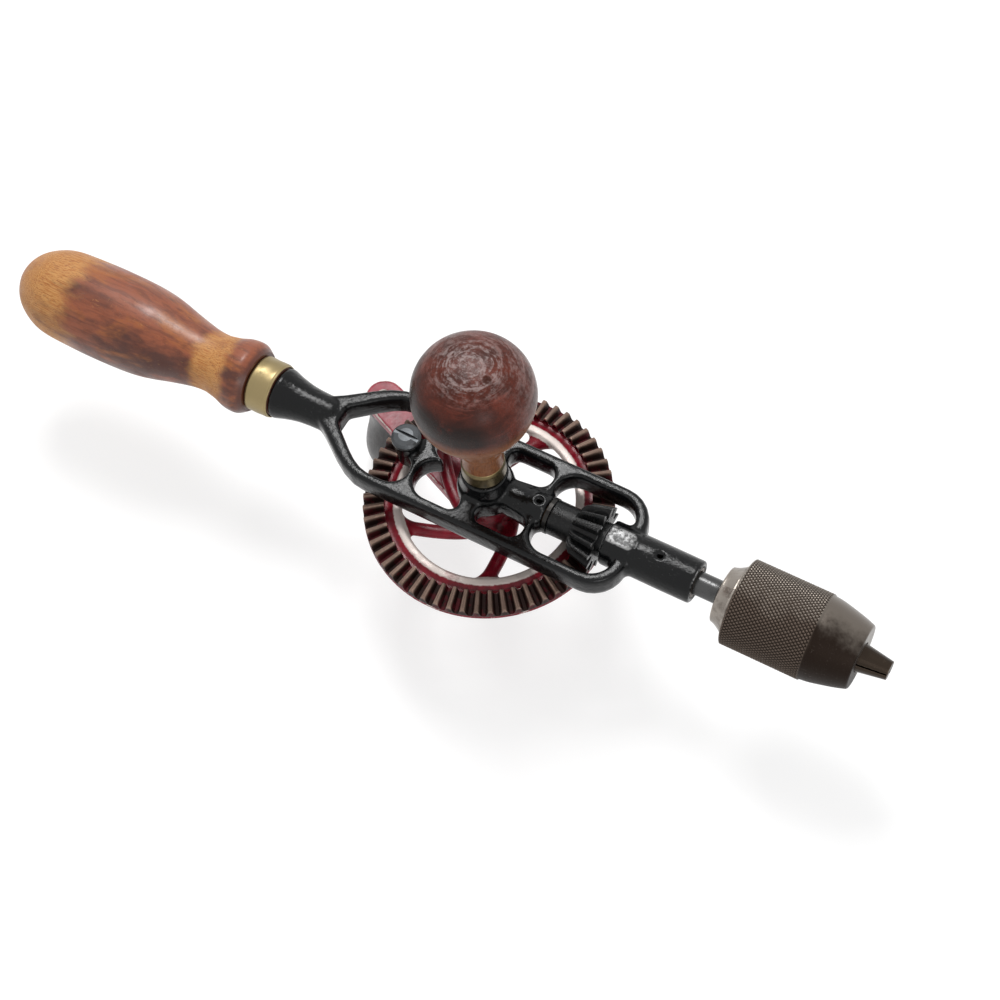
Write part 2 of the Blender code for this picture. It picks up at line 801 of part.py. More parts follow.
def build_thrust_washer():
    low = TUBE_END_X + GAP
    washer = ring(
        "thrust_washer", THRUST_WASHER_RADIUS, SPINDLE_RADIUS + GAP, low,
        low + THRUST_WASHER_THICKNESS, PARTS, rotation=TO_X_AXIS,
    )
    bronze(washer)


def involute_offset(radius, base):
    """Angle the involute has turned when it reaches a radius."""
    if radius <= base:
        return 0.0
    roll = math.sqrt((radius / base) ** 2 - 1.0)
    return roll - math.atan(roll)


def pinion_outline():
    """Tooth outline, as seen along the spindle, where the gear's pitch circle ends."""
    module = tooth_module()
    pitch = pinion_pitch_radius()
    cone = math.atan2(PINION_TEETH, GEAR_TEETH)
    tip = pitch + module * math.cos(cone)
    root = pitch - DEDENDUM_SHARE * module * math.cos(cone)
    base = pitch * math.cos(PRESSURE_ANGLE)
    pitch_half = TOOTH_SHARE * math.pi / PINION_TEETH
    flank = []
    for index in range(FLANK_POINTS):
        radius = base + (tip - base) * index / (FLANK_POINTS - 1)
        lean = involute_offset(pitch, base) - involute_offset(radius, base)
        flank.append((radius, pitch_half + lean))
    flank.insert(0, (root, flank[0][1]))
    points = []
    for tooth in range(PINION_TEETH):
        middle = 2.0 * math.pi * tooth / PINION_TEETH
        outline = [(radius, middle - angle) for radius, angle in flank]
        outline += [(radius, middle + angle) for radius, angle in reversed(flank)]
        points += outline
    return points


def build_pinion(hole):
    """Thirteen teeth that shrink towards the crossing of the axes, on a plain hub."""
    start_x = GEAR_PITCH_RADIUS - TOOTH_FACE - PINION_BACK
    end_x = GEAR_PITCH_RADIUS + PINION_OVERHANG
    shrink = start_x / GEAR_PITCH_RADIUS
    shape = bmesh.new()
    corners = []
    for radius, angle in pinion_outline():
        # Angle zero points at the gear, so that a tooth stands in its gap
        spot = Vector((GEAR_PITCH_RADIUS, radius * math.sin(angle), -radius * math.cos(angle)))
        corners.append(shape.verts.new(spot * shrink))
    face = shape.faces.new(corners)
    grown = bmesh.ops.extrude_face_region(shape, geom=[face])
    moved = [item for item in grown["geom"] if isinstance(item, bmesh.types.BMVert)]
    bmesh.ops.scale(shape, vec=Vector((end_x / start_x,) * 3), verts=moved)
    bmesh.ops.recalc_face_normals(shape, faces=shape.faces)
    mesh = bpy.data.meshes.new("pinion")
    shape.to_mesh(mesh)
    shape.free()
    pinion = mesh_item("pinion", mesh, PARTS)
    hub_start = TUBE_END_X + THRUST_WASHER_THICKNESS + 2.0 * GAP
    hub_profile = [
        (0.0, block_start_x() - GAP),
        (PINION_HUB_RADIUS, block_start_x() - GAP),
        (PINION_HUB_RADIUS, hub_start + CHAMFER),
        (PINION_HUB_RADIUS - CHAMFER, hub_start),
        (0.0, hub_start),
    ]
    join(pinion, turned("pinion hub", hub_profile, CUTTERS, rotation=TO_X_AXIS))
    bore = rod(
        "pinion bore", SPINDLE_RADIUS + GAP, hub_start - OVERRUN, block_start_x() + OVERRUN,
        steps=TURN_STEPS, rotation=TO_X_AXIS,
    )
    cut(pinion, bore, hole)
    steel(pinion)


def build_pinion_pin():
    reach = PINION_HUB_RADIUS
    pin = rod(
        "pinion_pin", PINION_PIN_RADIUS, -reach, reach, PARTS,
        location=(PINION_PIN_X, 0.0, 0.0), rotation=(math.radians(90.0), 0.0, 0.0),
    )
    dark_steel(pin)


# Drive gear

def gear_tooth_height(top, radius):
    """Height of a tooth's tip or root line; both run to the crossing of the axes."""
    module = tooth_module()
    cone = math.atan2(GEAR_TEETH, PINION_TEETH)
    pitch_z = -pinion_pitch_radius()
    rise = module * math.sin(cone)
    edge = pitch_z + rise if top else pitch_z - DEDENDUM_SHARE * rise
    return edge * radius / GEAR_PITCH_RADIUS


def build_tooth_ring():
    """A ring whose top rises and falls with every tooth."""
    module = tooth_module()
    outer = GEAR_PITCH_RADIUS
    inner = GEAR_PITCH_RADIUS - TOOTH_FACE
    pitch_half = TOOTH_SHARE * math.pi / GEAR_TEETH
    slope = math.tan(PRESSURE_ANGLE) * module / GEAR_PITCH_RADIUS
    tip_half = pitch_half - slope
    root_half = pitch_half + DEDENDUM_SHARE * slope
    stations = ((-root_half, False), (-tip_half, True), (tip_half, True), (root_half, False))
    shape = bmesh.new()
    loops = []
    for tooth in range(GEAR_TEETH):
        middle = 2.0 * math.pi * (tooth + 0.5) / GEAR_TEETH
        for offset, top in stations:
            angle = middle + offset
            floor = gear_tooth_height(False, outer) - half(RIM_DEPTH)
            section = (
                (outer, floor), (outer, gear_tooth_height(top, outer)),
                (inner, gear_tooth_height(top, inner)), (inner, floor),
            )
            loops.append([
                shape.verts.new((radius * math.cos(angle), radius * math.sin(angle), z))
                for radius, z in section
            ])
    for index, loop in enumerate(loops):
        following = loops[(index + 1) % len(loops)]
        for corner in range(len(loop)):
            after = (corner + 1) % len(loop)
            shape.faces.new((loop[corner], following[corner], following[after], loop[after]))
    bmesh.ops.recalc_face_normals(shape, faces=shape.faces)
    mesh = bpy.data.meshes.new("drive_gear")
    shape.to_mesh(mesh)
    shape.free()
    return mesh_item("drive_gear", mesh, PARTS)


def gear_rim():
    """Rim under the teeth with the hollow band and the rounded lip inside them."""
    rim_radius = GEAR_PITCH_RADIUS + RIM_MARGIN
    shoulder = gear_tooth_height(False, GEAR_PITCH_RADIUS) - GAP
    floor = gear_tooth_height(False, GEAR_PITCH_RADIUS) - RIM_DEPTH
    tooth_inner = GEAR_PITCH_RADIUS - TOOTH_FACE
    band_top = gear_tooth_height(False, tooth_inner) - GAP
    band_low = band_top - BAND_DEPTH
    band_inner = tooth_inner - BAND_WIDTH
    lip_inner = lip_inner_radius()
    lip_side = LIP_TOP - RIM_DEPTH
    profile = [
        (tooth_inner + CHAMFER, band_top),
        (rim_radius - CHAMFER, shoulder),
        (rim_radius, shoulder - CHAMFER),
        (rim_radius, floor + CHAMFER),
        (rim_radius - CHAMFER, floor),
        (lip_inner + LIP_WIDTH, floor),
        (lip_inner, lip_side),
        (lip_inner, LIP_TOP - CHAMFER),
        (lip_inner + CHAMFER, LIP_TOP),
        (band_inner - CHAMFER, LIP_TOP),
        (band_inner, LIP_TOP - CHAMFER),
        (band_inner + CHAMFER, band_low),
        (tooth_inner - CHAMFER, band_low),
        (tooth_inner, band_top - CHAMFER),
    ]
    return turned("gear rim", profile, CUTTERS, steps=GEAR_TEETH, closed=True)


def gear_hub():
    profile = [
        (0.0, gear_hub_top()),
        (GEAR_HUB_RADIUS - CHAMFER, gear_hub_top()),
        (GEAR_HUB_RADIUS, gear_hub_top() - CHAMFER),
        (GEAR_HUB_RADIUS + CHAMFER, GEAR_HUB_BOTTOM),
        (SPIGOT_RADIUS, GEAR_HUB_BOTTOM),
        (SPIGOT_RADIUS, crank_bottom()),
        (0.0, crank_bottom()),
    ]
    return turned("gear hub", profile, CUTTERS)


def gear_spoke(index):
    """A curved spoke, wider where it meets the rim and the hub, dished to the hub."""
    rim = lip_inner_radius() + half(LIP_WIDTH)
    hub = GEAR_HUB_RADIUS - 2.0 * CHAMFER
    curve = bpy.data.curves.new("spoke", "CURVE")
    curve.dimensions = "3D"
    curve.bevel_depth = SPOKE_RADIUS
    curve.bevel_resolution = 1
    curve.use_fill_caps = True
    spline = curve.splines.new("POLY")
    spline.points.add(SPOKE_POINTS - 1)
    first = SPOKE_FIRST_ANGLE + 2.0 * math.pi * index / SPOKE_COUNT
    for step, point in enumerate(spline.points):
        share = step / (SPOKE_POINTS - 1)
        radius = rim + (hub - rim) * share
        angle = first + SPOKE_SWEEP * (rim / radius - 1.0)
        z = SPOKE_OUTER_Z + (SPOKE_HUB_Z - SPOKE_OUTER_Z) * math.sin(half(math.pi) * share)
        spot = (radius * math.cos(angle), radius * math.sin(angle), z / SPOKE_HEIGHT_SHARE, 1.0)
        point.co = spot
        point.radius = 1.0 + SPOKE_FLARE_SHARE * (2.0 * share - 1.0) ** SPOKE_FLARE_POWER
    mesh = curve_mesh(curve, "spoke", SPOKE_HEIGHT_SHARE)
    return mesh_item("spoke", mesh, CUTTERS)


def build_drive_gear():
    gear = build_tooth_ring()
    join(gear, gear_rim(), gear_hub(), *[gear_spoke(index) for index in range(SPOKE_COUNT)])
    bore = rod(
        "gear bore", AXLE_RADIUS + GAP, crank_bottom() - OVERRUN, gear_hub_top() + OVERRUN,
        steps=TURN_STEPS,
    )
    cut(gear, bore)
    red_enamel(gear)


# Gear axle and washers

def slot(name, radius, face_z, into, place_xy=(0.0, 0.0)):
    """A straight slot for a screwdriver, cut from a face in the direction given."""
    depth = SLOT_DEPTH + OVERRUN
    middle = face_z + into * (SLOT_DEPTH - half(depth))
    return block(name, (2.0 * (radius + OVERRUN), SLOT_WIDTH, depth), (*place_xy, middle))


def build_gear_axle():
    head_top = axle_head_top()
    head_low = head_top - AXLE_HEAD_HEIGHT
    shoulder = HUB_BOSS_BOTTOM - GAP
    profile = [
        (0.0, HUB_BOSS_BOTTOM + AXLE_THREAD_LENGTH),
        (AXLE_THREAD_RADIUS - CHAMFER, HUB_BOSS_BOTTOM + AXLE_THREAD_LENGTH),
        (AXLE_THREAD_RADIUS, HUB_BOSS_BOTTOM + AXLE_THREAD_LENGTH - CHAMFER),
        (AXLE_THREAD_RADIUS, shoulder),
        (AXLE_RADIUS, shoulder),
        (AXLE_RADIUS, head_top),
        (AXLE_HEAD_RADIUS, head_top),
        (AXLE_HEAD_RADIUS, head_low + 2.0 * CHAMFER),
        (AXLE_HEAD_RADIUS - 2.0 * CHAMFER, head_low),
        (0.0, head_low),
    ]
    axle = turned("gear_axle", profile, PARTS)
    cut(axle, slot("axle slot", AXLE_HEAD_RADIUS, head_low, 1.0))
    steel(axle)


def build_washer(name, high, hole_radius):
    washer = ring(name, WASHER_RADIUS, hole_radius + GAP, high - WASHER_THICKNESS, high, PARTS)
    steel(washer)


# Crank

def crank_outline():
    """Round hub and round end joined by straight, slightly tapering sides."""
    side = math.degrees(math.asin(half(CRANK_HUB_WIDTH) / CRANK_HUB_RADIUS))
    points = arc(0.0, 0.0, CRANK_HUB_RADIUS, side, 360.0 - side, 3 * ARC_POINTS)
    points += arc(CRANK_RADIUS, 0.0, CRANK_END_RADIUS, -90.0, 90.0, 2 * ARC_POINTS)
    return points


def build_crank_arm():
    half_height = half(CRANK_THICKNESS)
    mesh = plate_mesh("crank_arm", [crank_outline()], half_height, CRANK_ROUNDING, CRANK_ROUNDING)
    turn = Matrix.Rotation(CRANK_ANGLE, 4, "Z")
    mesh.transform(Matrix.Translation((0.0, 0.0, crank_top() - half_height)) @ turn)
    arm = mesh_item("crank_arm", mesh, PARTS)
    spot = crank_pin_place()
    low = crank_bottom() - OVERRUN
    high = crank_top() + OVERRUN
    hub_hole = rod("crank hub hole", SPIGOT_RADIUS + GAP, low, high, steps=TURN_STEPS)
    pin_bore = rod("crank pin hole", CRANK_PIN_RADIUS + GAP, low, high, location=spot)
    cut(arm, hub_hole, pin_bore)
    red_enamel(arm)


def build_crank_knob():
    top = crank_bottom() - GAP
    bore = CRANK_PIN_RADIUS + GAP
    recess = CRANK_PIN_HEAD_RADIUS + GAP
    seat = top - CRANK_KNOB_LENGTH + CRANK_PIN_HEAD_HEIGHT
    profile = [(bore, top)]
    for along, radius in CRANK_KNOB_SHARES:
        profile.append((CRANK_KNOB_RADIUS * radius, top - CRANK_KNOB_LENGTH * along))
    profile += [(recess, top - CRANK_KNOB_LENGTH), (recess, seat), (bore, seat)]
    knob = turned("crank_knob", profile, PARTS, closed=True, location=crank_pin_place())
    grey_wood(knob)


def build_crank_pin():
    low = crank_knob_bottom() + GAP
    seat = crank_knob_bottom() + CRANK_PIN_HEAD_HEIGHT - GAP
    profile = [
        (0.0, crank_top()),
        (CRANK_PIN_RADIUS, crank_top()),
        (CRANK_PIN_RADIUS, seat),
        (CRANK_PIN_HEAD_RADIUS, seat),
        (CRANK_PIN_HEAD_RADIUS - CHAMFER, low),
        (0.0, low),
    ]
    pin = turned("crank_pin", profile, PARTS, steps=PIN_STEPS, location=crank_pin_place())
    steel(pin)


# Gear steady screw

def build_steady_screw():
    """Slotted screw through the rear web; its cone runs just above the gear's lip."""
    head_low = LUG_TOP + GAP
    head_top = head_low + STEADY_HEAD_HEIGHT
    tip = LIP_TOP + GAP
    profile = [
        (0.0, head_top),
        (half(STEADY_HEAD_RADIUS), head_top - GAP),
        (STEADY_HEAD_RADIUS - 2.0 * CHAMFER, head_top - 2.0 * CHAMFER),
        (STEADY_HEAD_RADIUS, head_top - 4.0 * CHAMFER),
        (STEADY_HEAD_RADIUS, head_low),
        (STEADY_SHANK_RADIUS, head_low),
        (STEADY_SHANK_RADIUS, tip + STEADY_CONE_LENGTH),
        (STEADY_TIP_RADIUS, tip),
        (0.0, tip),
    ]
    screw = turned("gear_steady_screw", profile, PARTS, location=(lug_x(), 0.0, 0.0))
    cut(screw, slot("steady slot", STEADY_HEAD_RADIUS, head_top, -1.0, (lug_x(), 0.0)))
    steel(screw)


# Chuck

def build_chuck_body():
    """Rear collar with a flared back and a notch, and a hub bored to the jaw cone."""
    flare_start = chuck_rear_x() + COLLAR_STEP_LENGTH
    flare_length = COLLAR_LENGTH - COLLAR_EDGE - COLLAR_STEP_LENGTH
    collar_front = chuck_rear_x() + COLLAR_LENGTH
    hub_radius = SHELL_BORE_RADIUS - GAP
    bore = SPINDLE_NOSE_RADIUS + GAP
    bore_end = chuck_rear_x() + SPINDLE_NOSE_LENGTH
    room_end = chuck_rear_x() + JAW_ROOM_START
    profile = [
        (0.0, room_end),
        (jaw_cone_radius(room_end) + GAP, room_end),
        (jaw_cone_radius(body_front_x()) + GAP, body_front_x()),
        (hub_radius, body_front_x()),
        (hub_radius, collar_front),
        (COLLAR_RADIUS - half(CHAMFER), collar_front),
        (COLLAR_RADIUS, collar_front - half(CHAMFER)),
    ]
    for along, rise in COLLAR_SHARES:
        radius = COLLAR_STEP_RADIUS + (COLLAR_RADIUS - COLLAR_STEP_RADIUS) * rise
        profile.append((radius, flare_start + flare_length * along))
    profile += [
        (COLLAR_REAR_RADIUS, chuck_rear_x()),
        (bore, chuck_rear_x()),
        (bore, bore_end),
        (0.0, bore_end),
    ]
    body = turned("chuck_body", profile, PARTS, steps=FINE_STEPS, rotation=TO_X_AXIS)
    notch = block(
        "spanner notch",
        (COLLAR_LENGTH, NOTCH_WIDTH, 2.0 * NOTCH_DEPTH),
        (chuck_rear_x() + half(COLLAR_LENGTH) - COLLAR_EDGE, 0.0, -COLLAR_RADIUS),
    )
    cut(body, notch)
    dark_steel(body)


def build_chuck_sleeve():
    """Knurled sleeve with a curved nose, bored to the cone that closes the jaws."""
    rear = shell_rear_x()
    end = shell_end_x()
    knurl_end = rear + KNURL_LENGTH
    nose = end - knurl_end
    nut_end = nut_front_x() + GAP
    profile = []
    for along, drop in NOSE_SHARES:
        radius = SHELL_NOSE_RADIUS + (SHELL_RADIUS - CHAMFER - SHELL_NOSE_RADIUS) * drop
        profile.append((radius, knurl_end + nose * along))
    profile += [
        (SHELL_RADIUS, knurl_end - CHAMFER),
        (SHELL_RADIUS, rear + 2.0 * CHAMFER),
        (SHELL_RADIUS - CHAMFER, rear),
        (SHELL_BORE_RADIUS, rear),
        (SHELL_BORE_RADIUS, nut_end),
        (jaw_cone_radius(nut_end) + GAP, nut_end),
        (JAW_MOUTH_RADIUS + GAP, end),
    ]
    sleeve = turned("chuck_sleeve", profile, PARTS, FINE_STEPS, closed=True, rotation=TO_X_AXIS)
    dark_steel(sleeve)


def build_chuck_nut():
    low = body_front_x() + GAP
    high = nut_front_x()
    outer = SHELL_BORE_RADIUS - GAP
    profile = [
        (outer, high), (outer, low),
        (jaw_cone_radius(low) + GAP, low), (jaw_cone_radius(high) + GAP, high),
    ]
    nut = turned("chuck_nut", profile, PARTS, closed=True, rotation=TO_X_AXIS)
    steel(nut)


def jaw_section(x, turn):
    """A third of the jaw cone's circle, less half a split on each side."""
    spread = math.pi / JAW_COUNT
    offset = half(JAW_SPLIT) / math.sin(spread)
    radius = jaw_cone_radius(x) - offset
    middle = Vector((x, offset * math.cos(turn), offset * math.sin(turn)))
    points = [middle]
    for index in range(JAW_ARC_POINTS):
        angle = turn + spread * (2.0 * index / (JAW_ARC_POINTS - 1) - 1.0)
        points.append(middle + Vector((0.0, radius * math.cos(angle), radius * math.sin(angle))))
    return points


def build_chuck_jaw(index):
    turn = 2.0 * math.pi * index / JAW_COUNT + half(math.pi)
    tip = jaw_tip_x()
    shape = bmesh.new()
    rings = []
    for x in (tip - JAW_LENGTH, tip):
        rings.append([shape.verts.new(point) for point in jaw_section(x, turn)])
    tail, front = rings
    shape.faces.new(tail)
    shape.faces.new(front)
    for corner in range(len(tail)):
        after = (corner + 1) % len(tail)
        shape.faces.new((tail[corner], tail[after], front[after], front[corner]))
    bmesh.ops.recalc_face_normals(shape, faces=shape.faces)
    mesh = bpy.data.meshes.new("chuck_jaw")
    shape.to_mesh(mesh)
    shape.free()
    jaw = mesh_item(f"chuck_jaw_{index + 1}", mesh, PARTS)
    dark_steel(jaw)


# Handle and side knob

def build_main_handle():
    """Turned handle, bored for the tang, with a spigot inside the ferrule."""
    spigot = FERRULE_RADIUS - FERRULE_WALL - GAP
    front = socket_rear_x() - GAP
    bore = TANG_RADIUS + GAP
    bore_end = socket_rear_x() - TANG_LENGTH - GAP
    profile = [(0.0, bore_end), (bore, bore_end), (bore, front), (spigot, front), (spigot, handle_front_x())]
    for along, radius in HANDLE_SHARES:
        profile.append((HANDLE_RADIUS * radius, handle_front_x() - HANDLE_LENGTH * along))
    handle = turned("main_handle", profile, PARTS, rotation=TO_X_AXIS)
    orange_wood(handle)


def build_handle_ferrule():
    ferrule = ring(
        "handle_ferrule", FERRULE_RADIUS, FERRULE_RADIUS - FERRULE_WALL,
        handle_front_x() + GAP, socket_rear_x() - GAP, PARTS, rotation=TO_X_AXIS,
    )
    brass(ferrule)


def build_side_knob():
    foot = knob_foot_z()
    bore = KNOB_STUD_RADIUS + GAP
    bore_end = foot + KNOB_STUD_REACH + GAP
    profile = []
    for along, radius in KNOB_SHARES:
        profile.append((KNOB_RADIUS * radius, foot + KNOB_LENGTH * along))
    profile += [(bore, foot), (bore, bore_end), (0.0, bore_end)]
    knob = turned("side_knob", profile, PARTS)
    dark_wood(knob)


def build_side_knob_ferrule():
    low = HUB_BOSS_TOP + GAP
    ferrule = ring(
        "side_knob_ferrule", KNOB_FERRULE_RADIUS, KNOB_STUD_RADIUS + GAP,
        low, low + KNOB_FERRULE_LENGTH, PARTS,
    )
    brass(ferrule)


def build_side_knob_stud():
    stud = rod(
        "side_knob_stud", KNOB_STUD_RADIUS, HUB_BOSS_TOP - KNOB_STUD_DEPTH,
        knob_foot_z() + KNOB_STUD_REACH, PARTS,
    )
    steel(stud)


def build_drill():
    clear_scene()
    new_collection(PARTS)
    new_collection(CUTTERS)
    root = bpy.data.objects.new(ROOT_NAME, None)
    bpy.data.collections[PARTS].objects.link(root)
    root.location = assembly_lift()
    rear_oil, front_oil = oil_holes()
    cross_hole = pin_hole()
    build_frame((rear_oil, front_oil))
    build_bush("rear_bush", REAR_BORE_X + GAP, TUBE_END_X, rear_oil)
    build_bush("front_bush", block_start_x() + GAP, sleeve_end_x() - GAP, front_oil)
    build_spindle(cross_hole)
    build_thrust_washer()
    build_pinion(cross_hole)
    build_pinion_pin()
    build_drive_gear()
    build_gear_axle()
    build_washer("gear_washer", HUB_BOSS_BOTTOM - GAP, AXLE_RADIUS)
    build_washer("axle_washer", crank_bottom() - GAP, AXLE_RADIUS)
    build_crank_arm()
    build_crank_knob()
    build_crank_pin()
    build_steady_screw()
    build_chuck_body()
    build_chuck_sleeve()
    build_chuck_nut()
    for index in range(JAW_COUNT):
        build_chuck_jaw(index)
    build_main_handle()
    build_handle_ferrule()
    build_side_knob()
    build_side_knob_ferrule()
    build_side_knob_stud()


build_drill()
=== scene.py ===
"""Hand drill: the finished pieces, their materials and the stage they are shown on."""
import math

import bmesh
import bpy
import numpy as np
from bpy.props import FloatProperty, FloatVectorProperty, IntProperty, PointerProperty
from mathutils import Matrix, Vector


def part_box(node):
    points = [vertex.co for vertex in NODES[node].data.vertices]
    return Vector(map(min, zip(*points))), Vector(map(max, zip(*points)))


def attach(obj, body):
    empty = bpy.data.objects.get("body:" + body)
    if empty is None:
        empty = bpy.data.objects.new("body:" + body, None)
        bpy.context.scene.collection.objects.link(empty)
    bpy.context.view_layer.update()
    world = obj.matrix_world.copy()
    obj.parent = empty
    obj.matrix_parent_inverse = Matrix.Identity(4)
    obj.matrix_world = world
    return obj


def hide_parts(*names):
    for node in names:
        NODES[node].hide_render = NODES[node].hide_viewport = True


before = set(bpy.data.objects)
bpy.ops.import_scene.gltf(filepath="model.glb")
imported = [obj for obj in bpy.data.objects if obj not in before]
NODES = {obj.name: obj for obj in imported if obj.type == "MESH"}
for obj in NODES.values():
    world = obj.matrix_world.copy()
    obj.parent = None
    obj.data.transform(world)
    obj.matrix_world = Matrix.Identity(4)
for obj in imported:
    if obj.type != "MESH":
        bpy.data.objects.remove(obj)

bl_info = {
    "name": "Hand Drill Builder",
    "version": (1, 0, 0),
    "blender": (4, 5, 0),
    "location": "3D View > Sidebar > Hand Drill",
    "description": "Builds the pieces, materials and stage of a geared hand drill",
    "category": "Object",
}

MM = 0.001


def middle(node):
    low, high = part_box(node)
    return (low + high) / 2.0


def size(node):
    low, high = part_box(node)
    return high - low


# Where the spindle's axis crosses the gear's, and where the crank knob turns
CROSSING = Vector((middle("gear_axle").x, middle("spindle").y, middle("spindle").z))
CRANK_PIN = middle("crank_pin")


def along_x(x):
    """A place along the drill in the frame, in millimetres ahead of the crossing."""
    return (x - CROSSING.x) / MM


def along_z(z):
    return (z - CROSSING.z) / MM


def low_x(node):
    return along_x(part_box(node)[0].x)


def high_x(node):
    return along_x(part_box(node)[1].x)


def low_z(node):
    return along_z(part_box(node)[0].z)


def high_z(node):
    return along_z(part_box(node)[1].z)


# The ferrule's rear edge, a little behind its solid's, and the wood just behind it
FERRULE_REAR = low_x("handle_ferrule") - 0.7
HANDLE_FRONT = FERRULE_REAR - 0.3

# Places in millimetres from the crossing: oil holes and squared block of the frame,
# lip and teeth of the gear, and where the crown of the side knob has been knocked
REAR_OIL_HOLE, FRONT_OIL_HOLE = 23.9, 76.0
BLOCK_MIDDLE = 59.4
LIP_REACH = 36.0
TEETH_REACH = 41.25
KNOB_DENT = (8.4, -2.2)

# How long the sleeve's knurl is, how far turned wood is off round, and the pinion: its
# teeth, the radius of its hub, and where the teeth stop falling off and where they end
KNURL_LENGTH = 32.3
UNEVENNESS = 0.07
PINION_TEETH = 13
PINION_HUB = 7.1
PINION_BACK, PINION_FRONT = 43.0, 51.22


# What a user can change

def colour(name, text, default):
    return FloatVectorProperty(
        name=name, description=text, subtype="COLOR", size=3, min=0.0, max=1.0, default=default
    )


def length(name, text, default):
    return FloatProperty(name=name, description=text, default=default, min=0.0, unit="LENGTH")


def count(name, text, default):
    return IntProperty(name=name, description=text, default=default, min=12)


def share(name, text, default):
    return FloatProperty(
        name=name, description=text, default=default, min=0.0, max=1.0, subtype="FACTOR"
    )


class DrillHandleSettings(bpy.types.PropertyGroup):
    handle_length: length(
        "Handle length", "Length of the wood behind the ferrule",
        (HANDLE_FRONT - low_x("main_handle")) * MM,
    )
    handle_radius: length(
        "Handle radius", "Radius at the thickest place", size("main_handle").y / 2.0
    )
    ferrule_radius: length(
        "Ferrule radius", "Outer radius of the brass ferrule", size("handle_ferrule").y / 2.0
    )
    varnish: colour("Varnish", "Red brown of the varnished wood", (0.25, 0.066, 0.026))
    amber: colour("Amber", "Orange patches that glow through the varnish", (0.33, 0.1, 0.016))
    worn: colour("Bare wood", "Golden wood where the varnish has gone", (0.53, 0.265, 0.085))
    # Also the colour of the painted shade on the handle's -Y side and of the painted shadow line
    # behind the ferrule.
    dark: colour("Dark patches", "Dark red brown patches and grain lines", (0.065, 0.014, 0.006))
    brass: colour("Brass", "Clean brass of the ferrule", (0.3, 0.235, 0.12))
    tarnish: colour("Tarnish", "Dull olive film on the brass", (0.09, 0.066, 0.026))


class DrillFrameSettings(bpy.types.PropertyGroup):
    skin: length("Casting detail", "Size of the smallest detail that the casting keeps", 0.53 * MM)
    fillet: length("Fillet", "Radius left by the mould in every inner corner", 1.1 * MM)
    enamel: colour("Enamel", "Black enamel of the frame", (0.0035, 0.0038, 0.0042))
    bare: colour("Bare iron", "Iron where the enamel has worn off", (0.34, 0.34, 0.34))
    dust: colour("Dust", "Dust that has settled in the corners", (0.11, 0.1, 0.09))
    wear: share("Wear", "How much enamel has worn off the edges", 0.5)


class DrillKnobSettings(bpy.types.PropertyGroup):
    knob_radius: length("Knob radius", "Radius of the side knob's head", size("side_knob").y / 2.0)
    knob_length: length("Knob length", "Length of the side knob", size("side_knob").z)
    wood: colour("Dark wood", "Mahogany colour of the side knob", (0.125, 0.024, 0.013))
    stem: colour("Stem wood", "Lighter orange brown under the head", (0.24, 0.1, 0.045))
    # Also the colour of the painted sheen on the head's +Y side and of the painted highlight round
    # the dent.
    scuff_and_sheen: colour("Scuffs", "Whitish rubbed places on the head", (0.36, 0.3, 0.29))
    ferrule: colour("Ferrule", "Dull brass ferrule under the stem", (0.15, 0.115, 0.055))
    crank_knob: colour("Crank knob", "Dark grey wood of the crank knob", (0.036, 0.033, 0.033))


class DrillGearSettings(bpy.types.PropertyGroup):
    tooth_count: count("Gear teeth", "Teeth on the drive gear", 57)
    paint: colour("Red enamel", "Crimson enamel of the gear", (0.2, 0.005, 0.015))
    crank_paint: colour("Crank enamel", "Faded crimson of the crank arm", (0.3, 0.022, 0.042))
    bare: colour("Bare rim", "Rubbed iron of the gear's lip", (0.62, 0.56, 0.52))
    teeth: colour("Cut teeth", "Grey brown steel of the teeth", (0.15, 0.1, 0.078))
    grease: colour("Old grease", "Dark film between the teeth", (0.022, 0.01, 0.008))


class DrillChuckSettings(bpy.types.PropertyGroup):
    sleeve_radius: length(
        "Sleeve radius", "Outer radius of the knurled sleeve", size("chuck_sleeve").y / 2.0
    )
    knurl_count: count("Knurl diamonds", "Diamonds round the sleeve", 72)
    knurl_depth: length("Knurl depth", "Depth of the knurled grooves", 0.42 * MM)
    steel: colour("Steel", "Brown grey steel of the sleeve", (0.13, 0.112, 0.096))
    # Also darkened to near black in the sleeve's knurl grooves as painted shade.
    film_and_groove_shade: colour("Brown film", "Old brown film on the steel", (0.024, 0.014, 0.009))
    jaw: colour("Jaw steel", "Dark steel of the jaws", (0.035, 0.025, 0.018))
    spindle: colour("Spindle steel", "Grey steel of the spindle", (0.08, 0.08, 0.08))


class DrillStageSettings(bpy.types.PropertyGroup):
    floor: colour("Floor", "Colour of the floor and the backdrop", (0.85, 0.85, 0.85))
    daylight: FloatProperty(
        name="Daylight", description="Strength of the soft light from all round", default=0.6
    )
    softbox: FloatProperty(
        name="Softbox", description="Power of the large lamp", default=8.0, min=0.0
    )


# Lathe work

def eased(points, count=6):
    """A smooth line through the points, with count steps between neighbours."""
    spots = np.array(points, float)
    padded = np.vstack([2 * spots[0] - spots[1], spots, 2 * spots[-1] - spots[-2]])
    steps = np.linspace(0.0, 1.0, count, endpoint=False)[:, None]
    line = []
    for before, start, end, after in zip(padded, padded[1:], padded[2:], padded[3:]):
        line.append(0.5 * (
            2 * start + (end - before) * steps
            + (2 * before - 5 * start + 4 * end - after) * steps ** 2
            + (3 * start - before - 3 * end + after) * steps ** 3
        ))
    line.append(spots[-1:])
    smooth = np.vstack(line)
    smooth[:, 1] = np.maximum(smooth[:, 1], 0.0)
    return [tuple(spot) for spot in smooth]


